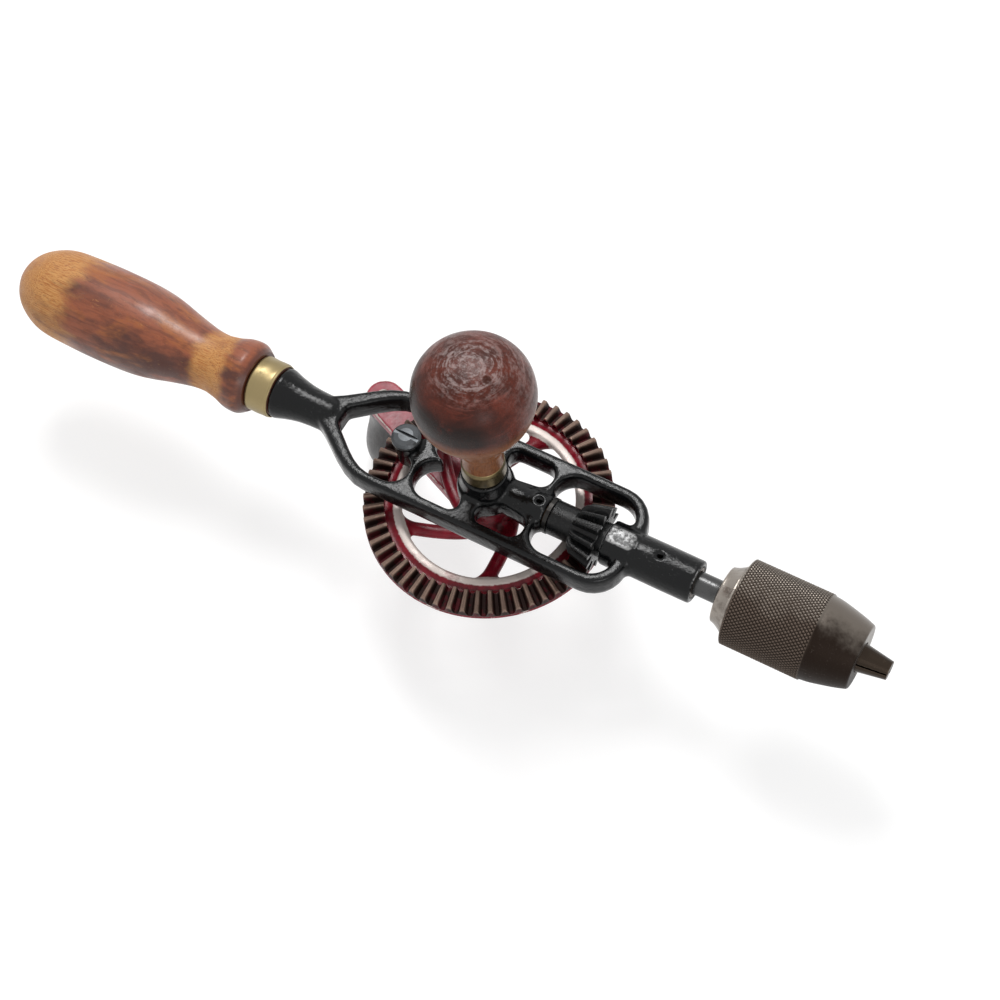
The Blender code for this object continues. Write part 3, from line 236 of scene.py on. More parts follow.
def filed(points, radius=0.3, count=4, closed=False, longest=1.5):
    """Round every corner of a lathe outline and split its long runs."""
    spots = [np.array(spot, float) for spot in points]
    total = len(spots)
    line = []
    for index, spot in enumerate(spots):
        if not closed and index in (0, total - 1):
            line.append(spot)
            continue
        before, after = spots[index - 1], spots[(index + 1) % total]
        back, on = before - spot, after - spot
        room = min(np.linalg.norm(back), np.linalg.norm(on)) * 0.48
        back, on = back / np.linalg.norm(back), on / np.linalg.norm(on)
        reach = min(radius, room)
        if reach < 1e-4 or abs(back @ on) > 0.9999:
            line.append(spot)
            continue
        for step in np.linspace(0.0, 1.0, count + 1):
            line.append(spot + back * reach * (1 - step) ** 2 + on * reach * step ** 2)
    if closed:
        line.append(line[0])
    full = [line[0]]
    for start, end in zip(line, line[1:]):
        parts = max(1, int(np.linalg.norm(end - start) / longest))
        full += [start + (end - start) * part / parts for part in range(1, parts + 1)]
    if closed:
        full.pop()
    return [tuple(spot) for spot in full]


def spun(name, line, axis, at=(0.0, 0.0), steps=96, closed=False, relief=None):
    """Spin (place, radius) points in millimetres about an axis and cap the ends."""
    line = np.array(line, float)
    poles = [] if closed else [end for end in (0, len(line) - 1) if line[end, 1] < 1e-6]
    rows = [index for index in range(len(line)) if index not in poles]
    place, radius = (np.repeat(line[rows, part, None], steps, axis=1) for part in (0, 1))
    angle = np.broadcast_to(np.arange(steps) * 2 * math.pi / steps, place.shape)
    if relief:
        radius = radius + relief(place, angle, radius)
    across, up = radius * np.cos(angle), radius * np.sin(angle)
    order = [place, across, up] if axis == "X" else [across, up, place]
    spots = np.stack(order, axis=-1).reshape(-1, 3)
    shift = (0.0, *at) if axis == "X" else (*at, 0.0)
    faces = band_faces(len(rows), steps, closed)
    for pole in poles:
        tip = [line[pole, 0], 0.0, 0.0] if axis == "X" else [0.0, 0.0, line[pole, 0]]
        spots = np.vstack([spots, tip])
        row = 0 if pole == 0 else len(rows) - 1
        for column in range(steps):
            side = (row * steps + column, row * steps + (column + 1) % steps)
            faces.append((*(side if pole else side[::-1]), len(spots) - 1))
    return mesh_of(name, spots + shift, faces)


def band_faces(rows, steps, closed=False):
    """Faces between neighbouring rings of points; closed joins the last ring to the first."""
    faces = []
    for row in range(rows if closed else rows - 1):
        here, there = row * steps, (row + 1) % rows * steps
        for step in range(steps):
            beside = (step + 1) % steps
            faces.append((here + step, here + beside, there + beside, there + step))
    return faces


def mesh_of(name, spots, faces):
    """A closed mesh of points in millimetres from the crossing."""
    mesh = bpy.data.meshes.new(name)
    mesh.from_pydata((spots * MM + np.array(CROSSING)).tolist(), [], faces)
    return face_out(mesh)


def face_out(mesh):
    """Turn the faces of a closed mesh outwards."""
    mesh.update()
    mesh.calc_loop_triangles()
    corners = np.empty(len(mesh.loop_triangles) * 3, np.int32)
    mesh.loop_triangles.foreach_get("vertices", corners)
    spots = positions(mesh)[corners.reshape(-1, 3)]
    if np.einsum("ij,ij->i", spots[:, 0], np.cross(spots[:, 1], spots[:, 2])).sum() < 0.0:
        mesh.flip_normals()
        mesh.update()
    return mesh


def positions(mesh):
    """Every point of a mesh, in millimetres from the crossing."""
    spots = np.empty(len(mesh.vertices) * 3, np.float32)
    mesh.vertices.foreach_get("co", spots)
    return spots.reshape(-1, 3).astype(float) / MM - np.array(CROSSING) / MM


def set_positions(mesh, spots):
    spots = (spots * MM + np.array(CROSSING)).astype(np.float32)
    mesh.vertices.foreach_set("co", spots.ravel())
    mesh.update()


def store(mesh, name, values):
    """Keep a value at each point of a mesh, for its material to read."""
    kept = mesh.attributes.new(name, "FLOAT", "POINT")
    kept.data.foreach_set("value", values.astype(np.float32))


def placed(name, data):
    """A new object in the scene."""
    item = bpy.data.objects.new(name, data)
    bpy.context.scene.collection.objects.link(item)
    return item


def taken(name, shape):
    """The mesh of a bmesh, which is then let go."""
    mesh = bpy.data.meshes.new(name)
    shape.to_mesh(mesh)
    shape.free()
    return mesh


# Casting and cutting

def applied(mesh, *steps):
    """The mesh after modifiers, each given as (kind, settings)."""
    helper = placed("work in hand", mesh)
    for kind, settings in steps:
        step = helper.modifiers.new(kind.title(), kind)
        for key, value in settings.items():
            setattr(step, key, value)
    graph = bpy.context.evaluated_depsgraph_get()
    made = bpy.data.meshes.new_from_object(helper.evaluated_get(graph))
    bpy.data.objects.remove(helper, do_unlink=True)
    made.name = mesh.name
    return made


def cut_away(mesh, *tools):
    """The mesh less each of the tools, which are closed meshes."""
    for tool in tools:
        helper = placed("cutter", tool)
        settings = {"operation": "DIFFERENCE", "solver": "EXACT", "object": helper}
        mesh = applied(mesh, ("BOOLEAN", settings))
        bpy.data.objects.remove(helper, do_unlink=True)
    return mesh


def joined(name, *meshes):
    shape = bmesh.new()
    for mesh in meshes:
        shape.from_mesh(mesh)
    return taken(name, shape)


def bar(size_mm, centre_mm, turned_by=0.0, axis="Z"):
    """A plain block that serves as a cutter."""
    shape = bmesh.new()
    spot = Matrix.Translation(CROSSING + Vector(centre_mm) * MM)
    turn = Matrix.Rotation(turned_by, 4, axis)
    scale = Matrix.Diagonal((*[side * MM for side in size_mm], 1.0))
    bmesh.ops.create_cube(shape, size=1.0, matrix=spot @ turn @ scale)
    return taken("block", shape)


def cast(mesh, detail, fillet=0.0, softening=4):
    """Give a mesh one skin of even faces, fill its inner corners and soften its edges."""
    skin = ("REMESH", {"mode": "VOXEL", "voxel_size": detail, "adaptivity": 0.0})
    if fillet:
        swell = ("DISPLACE", {"strength": fillet, "mid_level": 0.0})
        shrink = ("DISPLACE", {"strength": -fillet, "mid_level": 0.0})
        mesh = applied(mesh, skin, ("SMOOTH", {"factor": 0.5, "iterations": 3}), swell)
        mesh = applied(mesh, skin, ("SMOOTH", {"factor": 0.5, "iterations": 2}), shrink)
    mesh = applied(mesh, skin)
    return face_out(eased_skin(mesh, softening))


def eased_skin(mesh, passes):
    """Smooth a skin without shrinking it."""
    edges = edge_ends(mesh)
    spots = positions(mesh)
    ways = np.bincount(edges.ravel(), minlength=len(spots))[:, None]
    for step in range(2 * passes):
        factor = -0.53 if step % 2 else 0.5
        around = np.stack([
            np.bincount(edges[:, 0], spots[edges[:, 1], axis], len(spots))
            + np.bincount(edges[:, 1], spots[edges[:, 0], axis], len(spots))
            for axis in range(3)
        ], axis=-1) / ways
        spots = spots + factor * (around - spots)
    set_positions(mesh, spots)
    return mesh


def edge_ends(mesh):
    ends = np.empty(len(mesh.edges) * 2, np.int32)
    mesh.edges.foreach_get("vertices", ends)
    return ends.reshape(-1, 2)


def mark_bends(mesh, passes=1):
    """Store how sharply the skin bulges at each point, per millimetre, for wear and dirt."""
    spots, edges = positions(mesh), edge_ends(mesh)
    normals = np.empty(len(mesh.vertices) * 3, np.float32)
    mesh.vertices.foreach_get("normal", normals)
    normals = normals.reshape(-1, 3)
    first, second = edges.T
    step = spots[second] - spots[first]
    spread = np.maximum((step ** 2).sum(1), 1e-6)
    here = -2 * (step * normals[first]).sum(1) / spread
    there = 2 * (step * normals[second]).sum(1) / spread
    count = len(spots)
    ways = np.maximum(np.bincount(edges.ravel(), minlength=count), 1)
    bend = (np.bincount(first, here, count) + np.bincount(second, there, count)) / ways
    for _ in range(passes):
        around = np.bincount(first, bend[second], count)
        around = around + np.bincount(second, bend[first], count)
        bend = (bend + around / ways) / 2
    store(mesh, "bend", bend)


def show(name, mesh, look, body, slot, *nodes, passes=1, sharp=45.0):
    """Make a finished piece of a mesh, in place of its nodes in the frame."""
    mesh.shade_smooth()
    mesh.set_sharp_from_angle(angle=math.radians(sharp))
    mark_bends(mesh, passes)
    mesh.name = name
    mesh.materials.clear()
    mesh.materials.append(look)
    piece = placed(name, mesh)
    if nodes:
        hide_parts(*nodes)
    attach(piece, body)


def copy_of(node):
    mesh = NODES[node].data.copy()
    shape = bmesh.new()
    shape.from_mesh(mesh)
    bmesh.ops.remove_doubles(shape, verts=shape.verts, dist=1e-7)
    shape.to_mesh(mesh)
    shape.free()
    return mesh


# Wiring of materials

class Wire:
    """A value in a node tree; arithmetic with wires puts down the math nodes it needs."""

    def __init__(self, board, socket):
        self.board, self.socket = board, socket

    def __add__(self, other):
        return self.board.math("ADD", self, other)

    def __sub__(self, other):
        return self.board.math("SUBTRACT", self, other)

    def __rsub__(self, other):
        return self.board.math("SUBTRACT", other, self)

    def __mul__(self, other):
        return self.board.math("MULTIPLY", self, other)

    def __truediv__(self, other):
        return self.board.math("DIVIDE", self, other)

    def __rtruediv__(self, other):
        return self.board.math("DIVIDE", other, self)

    def __pow__(self, power):
        return self.board.math("POWER", self, power)

    def __abs__(self):
        return self.board.math("ABSOLUTE", self)

    def ramp(self, low, high, start=0.0, end=1.0):
        """Ease from start to end while the wire's value runs from low to high."""
        inputs = {"Value": self, "From Min": low, "From Max": high, "To Min": start, "To Max": end}
        return self.board.put("ShaderNodeMapRange", inputs, interpolation_type="SMOOTHSTEP")


class Board:
    """Places nodes on one node tree and joins them."""

    def __init__(self, tree):
        self.tree = tree

    def fill(self, node, inputs):
        """Join wires to a node's sockets and set the others; _ stands for a space in a name."""
        for key, value in inputs.items():
            socket = node.inputs[key.replace("_", " ") if isinstance(key, str) else key]
            if isinstance(value, Wire):
                self.tree.links.new(value.socket, socket)
            else:
                socket.default_value = value

    def node(self, kind, inputs=(), **settings):
        node = self.tree.nodes.new(kind)
        for key, value in settings.items():
            setattr(node, key, value)
        self.fill(node, dict(inputs))
        return node

    def put(self, kind, inputs=(), out=0, **settings):
        return Wire(self, self.node(kind, inputs, **settings).outputs[out])

    def outputs(self, kind, inputs=(), **settings):
        """Every output of a new node, by name."""
        sockets = self.node(kind, inputs, **settings).outputs
        return {socket.name: Wire(self, socket) for socket in sockets}

    def math(self, operation, *values):
        return self.put("ShaderNodeMath", enumerate(values), operation=operation)

    def larger(self, one, other):
        return self.math("MAXIMUM", one, other)

    def distance(self, one, other):
        return self.math("SQRT", one ** 2.0 + other ** 2.0)

    def parts(self, place):
        """The X, Y and Z of a place."""
        return list(self.outputs("ShaderNodeSeparateXYZ", {"Vector": place}).values())

    def vector(self, x, y, z):
        return self.put("ShaderNodeCombineXYZ", {"X": x, "Y": y, "Z": z})

    def mix(self, share, first, second):
        inputs = {0: share}
        for key, value in ((6, first), (7, second)):
            inputs[key] = value if isinstance(value, Wire) else (*value, 1.0)
        return self.put("ShaderNodeMix", inputs, out=2, data_type="RGBA")

    def noise(self, place, scale, detail=3.0, rough=0.55, bent=0.0):
        inputs = {"Vector": place, "Scale": scale, "Detail": detail, "Roughness": rough}
        return self.put("ShaderNodeTexNoise", {**inputs, "Distortion": bent})

    def stretched(self, place, scale):
        return self.put("ShaderNodeMapping", {"Vector": place, "Scale": scale})

    def place(self):
        """Places on the piece, in millimetres."""
        spot = self.put("ShaderNodeTexCoord", out="Object")
        return self.put("ShaderNodeVectorMath", {0: spot, "Scale": 1.0 / MM}, operation="SCALE")

    def from_crossing(self):
        """How far ahead, aside and above the crossing a place is, in millimetres."""
        x, y, z = self.parts(self.place())
        return x - CROSSING.x / MM, y, z - CROSSING.z / MM

    def stored(self, name):
        """A value that was kept at each point of the mesh."""
        return self.put("ShaderNodeAttribute", out="Fac", attribute_name=name)

    def bump(self, height, depth, strength=1.0):
        inputs = {"Height": height, "Distance": depth * MM, "Strength": strength}
        return self.put("ShaderNodeBump", inputs)


def tinted(colour, factor):
    """A colour made darker or lighter."""
    return tuple(min(1.0, part * factor) for part in colour)


def effect(name, *outputs, **inputs):
    """Make the function under it place a shared effect, which is built only once."""
    def build_tree(build):
        tree = bpy.data.node_groups.new(name, "ShaderNodeTree")
        new_socket = tree.interface.new_socket
        for label, value in inputs.items():
            label = label.replace("_", " ")
            socket = new_socket(label, in_out="INPUT", socket_type="NodeSocketFloat")
            socket.default_value = value
        for label in outputs:
            new_socket(label, in_out="OUTPUT", socket_type="NodeSocketFloat")
        inside = Board(tree)
        results = build(inside, inside.outputs("NodeGroupInput"))
        inside.node("NodeGroupOutput", zip(outputs, results))
        return tree

    def placing(build):
        def place(board, **values):
            tree = bpy.data.node_groups.get(name) or build_tree(build)
            return board.outputs("ShaderNodeGroup", values, node_tree=tree)
        return place
    return placing


def material(name, build, **sockets):
    """Make a material once: build wires the tree and gives what to join to the shader."""
    look = bpy.data.materials.get(name)
    if look:
        return look
    look = bpy.data.materials.new(name)
    look.use_nodes = True
    board = Board(look.node_tree)
    board.fill(look.node_tree.nodes["Principled BSDF"], {**sockets, **build(board)})
    return look


def finish(name, **sockets):
    """Make the function under it give its material."""
    return lambda build: lambda: material(name, build, **sockets)


# Effects that several finishes share

@effect(
    "Worn edges", "Bare", "Rubbed",
    Least_bend=0.15, Full_bend=0.8, Patch_size=6.0, Edges=0.5, Bareness=0.0,
)
def worn_edges(board, given):
    """Where edges and high spots are rubbed bare, in ragged patches."""
    place = board.place()
    edge = board.stored("bend").ramp(given["Least bend"], given["Full bend"])
    broad = board.noise(place, 1.0 / given["Patch size"], 4.0, 0.6)
    fine = board.noise(place, 6.0 / given["Patch size"], 3.0, 0.7)
    ragged = broad * 1.1 + fine * 0.5
    level = edge * given["Edges"] + ragged + given["Bareness"]
    return [level.ramp(1.22, 1.34), level.ramp(1.0, 1.34)]


@effect("Settled dirt", "Dirt", Full_bend=0.4, Patch_size=8.0, Start=0.6)
def settled_dirt(board, given):
    """Where dust and old oil collect: inner corners and cloudy patches."""
    place = board.place()
    hollow = (board.stored("bend") * -1.0).ramp(0.02, given["Full bend"])
    cloud = board.noise(place, 1.0 / given["Patch size"], 4.0, 0.65)
    level = hollow * 0.8 + cloud
    return [level.ramp(given["Start"], given["Start"] + 0.4)]


@effect("Handling marks", "Scratches", "Smears", Scale=1.0)
def handling_marks(board, given):
    """Fine scratches and rubbed places, for roughness and a slight relief."""
    place = board.place()
    one = board.noise(board.stretched(place, (0.25, 2.6, 1.3)), given["Scale"], 2.0, 0.6, 0.4)
    other = board.noise(board.stretched(place, (2.2, 0.3, 1.7)), given["Scale"], 2.0, 0.6, 0.4)
    lines = board.larger(one.ramp(0.66, 0.72), other.ramp(0.67, 0.73))
    soft = board.noise(place, 0.12, 3.0, 0.6)
    return [lines * soft.ramp(0.42, 0.6), soft]


@effect("Wood grain", "Streak", "Lines", "Pores", "Cloud", Streaks=1.0, Upright=0.0)
def wood_grain(board, given):
    """Long streaks and short dark pores that run along X or, for the knobs, along Z."""
    place = board.place()
    x, y, z = board.parts(place)
    inputs = {0: given["Upright"], 4: place, 5: board.vector(z, y, x)}
    place = board.put("ShaderNodeMix", inputs, out=1, data_type="VECTOR")
    wander = board.noise(place, 0.05, 2.0, 0.5)
    shift = board.vector(0.0, wander * 5.0, wander * -4.0)
    lean = board.put("ShaderNodeVectorMath", {0: place, 1: shift}, operation="ADD")
    scale = given["Streaks"]
    streak = board.noise(board.stretched(lean, (0.035, 0.55, 0.55)), scale, 4.0, 0.6, 0.3)
    lines = board.noise(board.stretched(lean, (0.06, 3.2, 3.2)), scale, 3.0, 0.6)
    specks = board.noise(board.stretched(lean, (0.35, 5.5, 5.5)), scale, 1.0, 0.5)
    cloud = board.noise(board.stretched(place, (0.35, 1.0, 1.0)), 0.075, 3.0, 0.6)
    return [streak, lines, specks.ramp(0.62, 0.72), cloud]


# Finishes

@finish("Varnished wood", Coat_Roughness=0.25, Specular_IOR_Level=0.38)
def varnished_wood(board):
    """Red brown varnish that has worn to golden wood at the tail and the waist."""
    made = bpy.context.scene.drill_handle
    front = HANDLE_FRONT
    tail_end = front - made.handle_length / MM
    streak, lines, pores, cloud = wood_grain(board, Streaks=1.0).values()
    scratches, smears = handling_marks(board, Scale=0.7).values()
    place = board.place()
    along, aside, _ = board.from_crossing()
    ragged = board.noise(board.stretched(place, (0.5, 1.0, 1.0)), 0.12, 6.0, 0.62)
    side = aside.ramp(-10.0, 14.0, 0.0, 0.16)
    tail = along.ramp(tail_end + 48.0, tail_end + 22.0, -0.2, 0.4)
    near = abs(along - (front - 17.5))
    waist = near.ramp(3.0, 14.0, 0.42, -0.2) - side
    gold = board.larger(tail, waist) + ragged
    gold = (gold + lines * 0.18).ramp(0.56, 1.02)
    patch = board.noise(board.stretched(place, (0.45, 1.0, 1.0)), 0.07, 4.0, 0.6, 0.4)
    fine = board.noise(board.stretched(place, (0.5, 1.0, 1.0)), 0.5, 5.0, 0.7)
    level = patch + fine * 0.12
    # The aside ramp darkens the -Y side, away from the lamp: painted shade, laid over the dark
    # patches of the cloud.
    depth = cloud + fine * 0.25 + aside.ramp(-13.0, 9.0, -0.1, 0.16)
    base = board.mix(depth.ramp(0.44, 0.7), made.dark, made.varnish)
    base = board.mix(level.ramp(0.54, 0.7, 0.0, 0.8), base, made.amber)
    base = board.mix(streak.ramp(0.42, 0.66, 0.0, 0.5), base, made.dark)
    bare = board.mix(lines.ramp(0.42, 0.66, 0.0, 0.85), made.worn, made.amber)
    bare = board.mix(fine.ramp(0.5, 0.75, 0.0, 0.45), bare, made.varnish)
    bare = board.mix(pores * 0.6, bare, made.dark)
    base = board.mix(gold * 0.95, base, bare)
    base = board.mix(pores * 0.3, base, made.dark)
    base = board.mix(scratches * 0.3, base, made.worn)
    # Darkened just behind the ferrule: a painted shadow line between the bead and the ferrule.
    base = board.mix(along.ramp(front - 2.4, front - 0.8, 0.0, 0.85), base, made.dark)
    base = board.mix(along.ramp(tail_end + 9.0, tail_end, 0.0, 0.7), base, made.varnish)
    rough = smears.ramp(0.35, 0.7, 0.36, 0.5) + gold * 0.12
    height = lines * gold.ramp(0.0, 1.0, 0.2, 0.7) + pores * -0.5
    coat = (smears + gold * 0.4).ramp(0.4, 0.9, 0.25, 0.03)
    return {
        "Base_Color": base, "Roughness": rough, "Coat_Weight": coat,
        "Normal": board.bump(height, 0.1, 0.5),
    }


@finish("Tarnished brass")
def tarnished_brass(board):
    made = bpy.context.scene.drill_handle
    rubbed = worn_edges(board, Least_bend=0.05, Full_bend=0.6, Patch_size=5.0, Edges=0.4)["Rubbed"]
    dirt = settled_dirt(board, Patch_size=9.0, Start=0.5)["Dirt"]
    scratches, smears = handling_marks(board, Scale=1.5).values()
    base = board.mix(dirt, made.brass, made.tarnish)
    specks = board.noise(board.place(), 0.9, 5.0, 0.8).ramp(0.6, 0.72)
    base = board.mix(specks * 0.6, base, made.tarnish)
    base = board.mix(rubbed * 0.6, base, tinted(made.brass, 1.2))
    rough = dirt.ramp(0.0, 1.0, 0.38, 0.55) + scratches * -0.08
    return {
        "Base_Color": base, "Roughness": rough, "Metallic": dirt.ramp(0.0, 1.0, 1.0, 0.55),
        "Normal": board.bump(smears, 0.15, 0.5),
    }


@finish("Black enamel", Specular_IOR_Level=0.22)
def black_enamel(board):
    """Glossy black enamel, rubbed grey on tops and edges, worn bright on the block's flat."""
    made = bpy.context.scene.drill_frame
    place = board.place()
    bare, rubbed = worn_edges(
        board, Least_bend=0.12, Full_bend=0.6, Patch_size=7.0, Edges=made.wear, Bareness=-0.12,
    ).values()
    dirt = settled_dirt(board, Patch_size=9.0, Start=0.9)["Dirt"]
    scratches, smears = handling_marks(board, Scale=0.9).values()
    up = board.parts(board.put("ShaderNodeNewGeometry", out="Normal"))[2]
    ahead, _, above = board.from_crossing()
    specks = board.noise(place, 1.3, 5.0, 0.78)
    scuffed = specks.ramp(0.6, 0.7) * (up.ramp(0.6, 0.95) * smears.ramp(0.46, 0.58))
    block_top = abs(ahead - BLOCK_MIDDLE).ramp(4.5, 6.5, 1.0, 0.0) * above.ramp(8.2, 8.45)
    chips = board.noise(place, 0.42, 5.0, 0.7)
    flat = block_top * chips.ramp(0.43, 0.55, 0.12, 0.8)
    bare = board.larger(bare, board.larger(scuffed * 0.45, flat))
    base = board.mix(dirt * 0.2, made.enamel, made.dust)
    base = board.mix(rubbed * 0.3, base, (0.06, 0.062, 0.064))
    base = board.mix(bare * 0.85, base, made.bare)
    rough = smears.ramp(0.3, 0.7, 0.09, 0.2) + board.larger(bare, dirt) * 0.25
    ripple = board.noise(place, 0.55, 4.0, 0.62)
    height = ripple * 0.8 + bare * -0.25 + scratches * -0.15
    return {
        "Base_Color": base, "Roughness": rough, "Metallic": bare * 0.6,
        "Normal": board.bump(height, 0.4, 0.65),
    }


@finish("Crank enamel", Coat_Weight=0.05, Coat_Roughness=0.2, Specular_IOR_Level=0.3)
def red_enamel(board):
    """Faded crimson enamel, rubbed pale along the edges."""
    made = bpy.context.scene.drill_gear
    paint = made.crank_paint
    place = board.place()
    bare, rubbed = worn_edges(
        board, Least_bend=0.1, Full_bend=0.6, Patch_size=8.0, Edges=0.6, Bareness=-0.05,
    ).values()
    dirt = settled_dirt(board, Patch_size=7.0, Start=0.7)["Dirt"]
    smears = handling_marks(board, Scale=0.8)["Smears"]
    tone = board.noise(place, 0.16, 4.0, 0.6)
    base = board.mix(tone.ramp(0.35, 0.7), paint, tinted(paint, 0.6))
    base = board.mix(dirt * 0.6, base, made.grease)
    base = board.mix(rubbed * 0.25, base, (0.5, 0.2, 0.22))
    base = board.mix(bare, base, made.bare)
    rough = smears.ramp(0.3, 0.7, 0.28, 0.42) + bare * 0.15
    height = board.noise(place, 0.6, 3.0, 0.6) + bare * -0.3
    return {
        "Base_Color": base, "Roughness": rough, "Metallic": bare * 0.6,
        "Normal": board.bump(height, 0.2, 0.6),
    }


@finish("Gear finish", Specular_IOR_Level=0.25)
def gear_finish(board):
    """Dark crimson web, pale rubbed lip, and bare teeth with old grease between them."""
    made = bpy.context.scene.drill_gear
    place = board.place()
    bare, rubbed = worn_edges(
        board, Least_bend=0.12, Full_bend=0.6, Patch_size=8.0, Bareness=-0.1,
    ).values()
    dirt = settled_dirt(board, Patch_size=7.0, Start=0.6)["Dirt"]
    smears = handling_marks(board, Scale=0.9)["Smears"]
    ahead, aside, above = board.from_crossing()
    reach = board.distance(ahead, aside)
    fray = (board.noise(place, 0.8, 4.0, 0.7) - 0.5) * 1.2
    slope = above + reach * 0.28
    toothed = (reach + fray).ramp(41.2, 41.6) * slope.ramp(0.0, 0.25)
    near = abs(reach + fray - LIP_REACH)
    lip = near.ramp(1.7, 2.3, 1.0, 0.0) * above.ramp(-14.8, -13.6)
    lip = lip * smears.ramp(0.3, 0.44, 0.6, 1.0)
    tone = board.noise(place, 0.2, 4.0, 0.6)
    base = board.mix(tone.ramp(0.35, 0.7), made.paint, tinted(made.paint, 0.55))
    base = board.mix(dirt * 0.6, base, made.grease)
    base = board.mix(rubbed * 0.3, base, (0.32, 0.05, 0.07))
    bare = board.larger(bare, lip * 0.9)
    base = board.mix(bare, base, made.bare)
    tip = (above * -1.0 / reach).ramp(0.232, 0.2)
    steel = board.mix(tip, made.grease, made.teeth)
    red = tone.ramp(0.5, 0.6) * (1.0 - tip)
    steel = board.mix(red * 0.5, steel, (0.12, 0.008, 0.016))
    steel = board.mix(rubbed * tip, steel, tinted(made.teeth, 1.7))
    base = board.mix(toothed, base, steel)
    metallic = board.larger(toothed * 0.5, bare * 0.3)
    rough = smears.ramp(0.3, 0.7, 0.24, 0.4) + board.larger(bare, toothed) * 0.16
    height = board.noise(place, 0.7, 4.0, 0.65) + bare * -0.3
    return {
        "Base_Color": base, "Roughness": rough, "Metallic": metallic,
        "Normal": board.bump(height, 0.2, 0.6),
    }


def metal(name, clean, film, film_start, roughness, metallic):
    """Old steel or bronze: a clean tone, a darker film in patches and corners, rubbed edges."""
    def build(board):
        place = board.place()
        rubbed = worn_edges(board, Least_bend=0.1, Full_bend=0.9, Patch_size=4.0)["Rubbed"]
        dirt = settled_dirt(board, Patch_size=6.0, Start=film_start)["Dirt"]
        scratches, smears = handling_marks(board, Scale=1.4).values()
        base = board.mix(dirt, clean, film)
        base = board.mix(rubbed * 0.6, base, tinted(clean, 1.8))
        rough = (dirt + smears * 0.3).ramp(0.0, 1.2, *roughness)
        height = board.noise(place, 1.2, 3.0, 0.6) + scratches * -0.4
        return {
            "Base_Color": base, "Roughness": rough, "Metallic": dirt.ramp(0.0, 1.0, *metallic),
            "Normal": board.bump(height, 0.08, 0.6),
        }
    return material(name, build)


@finish("Pinion iron", Specular_IOR_Level=0.25)
def pinion_finish(board):
    """Oily black iron with light rubbed tooth tips and a rough, patchy hub."""
    made = bpy.context.scene.drill_frame
    place = board.place()
    bare = worn_edges(board, Least_bend=0.3, Full_bend=1.6, Patch_size=3.0, Edges=0.6)["Bare"]
    smears = handling_marks(board, Scale=1.2)["Smears"]
    pitted = board.noise(place, 0.9, 5.0, 0.75)
    base = board.mix(pitted.ramp(0.5, 0.7), made.enamel, (0.022, 0.021, 0.02))
    base = board.mix(bare * 0.65, base, made.bare)
    rough = smears.ramp(0.3, 0.7, 0.2, 0.36) + bare * 0.1
    return {
        "Base_Color": base, "Roughness": rough, "Metallic": bare * 0.7,
        "Normal": board.bump(pitted, 0.3, 0.6),
    }


@finish("Side knob wood", Coat_Weight=0.04, Coat_Roughness=0.25, Specular_IOR_Level=0.16)
def side_knob_wood(board):
    """Dark mahogany with a whitish rubbed crown, turning marks and a lighter stem."""
    made = bpy.context.scene.drill_knobs
    head = high_z("side_knob")
    wood, black = made.wood, (0.009, 0.0055, 0.005)
    grain = wood_grain(board, Streaks=1.0, Upright=1.0)
    smears = handling_marks(board, Scale=0.8)["Smears"]
    place = board.place()
    ahead, aside, above = board.from_crossing()
    reach = board.distance(ahead, aside)
    around = board.math("ARCTAN2", aside, ahead) * 1.3
    marks = board.vector(reach * 0.55, around, above * 0.1)
    swirl = board.noise(marks, 1.0, 5.0, 0.68, 0.9)
    patch = board.noise(place, 0.11, 4.0, 0.62, 0.3)
    fuzz = board.noise(place, 0.55, 6.0, 0.75)
    depth = patch + fuzz * 0.3
    base = board.mix(depth.ramp(0.46, 0.84), tinted(wood, 0.4), wood)
    base = board.mix(swirl.ramp(0.52, 0.68, 0.0, 0.35), base, tinted(wood, 2.2))
    front = aside * -1.0 + ahead * -0.55
    shade = front.ramp(-1.0, 13.0) * depth.ramp(1.02, 0.74)
    shade = shade * above.ramp(head - 24.0, head - 18.0) * above.ramp(head - 4.0, head - 12.0)
    base = board.mix(shade * 0.97, base, black)
    stem = above.ramp(head - 27.5, head - 18.5, 1.0, 0.0)
    base = board.mix(stem * 0.85, base, made.stem)
    base = board.mix(grain["Lines"].ramp(0.45, 0.65, 0.0, 0.5), base, (0.03, 0.009, 0.005))
    crown = reach.ramp(18.0, 8.0) * above.ramp(head - 14.0, head - 4.0)
    worn = swirl * 0.65 + fuzz * 0.5
    rubbed = crown * worn.ramp(0.53, 0.68)
    # Whitish over the head's +Y side, towards the lamp: a painted sheen, in the scuff colour.
    painted_sheen = aside.ramp(-12.0, 10.0) * worn.ramp(0.5, 0.68)
    painted_sheen = painted_sheen * above.ramp(head - 26.0, head - 14.0, 0.0, 0.3)
    base = board.mix(board.larger(rubbed * 0.6, painted_sheen), base, made.scuff_and_sheen)
    pit = board.distance(ahead - KNOB_DENT[0], aside - KNOB_DENT[1])
    on_top = above.ramp(head - 6.0, head - 5.0)
    # A whitish ring round the dent: a scuff on its raised rim and a painted highlight.
    rim_scuff_and_highlight = abs(pit - 1.9).ramp(0.5, 0.0) * on_top
    base = board.mix(rim_scuff_and_highlight * 0.15, base, made.scuff_and_sheen)
    # Dark inside the dent: painted shade in the hollow.
    base = board.mix(pit.ramp(1.1, 2.1, 0.9, 0.0) * on_top, base, (0.04, 0.008, 0.003))
    rough = smears.ramp(0.3, 0.7, 0.26, 0.42) + rubbed * 0.22
    relief = swirl * 0.9 + grain["Pores"] * -0.4
    return {"Base_Color": base, "Roughness": rough, "Normal": board.bump(relief, 0.25, 0.7)}


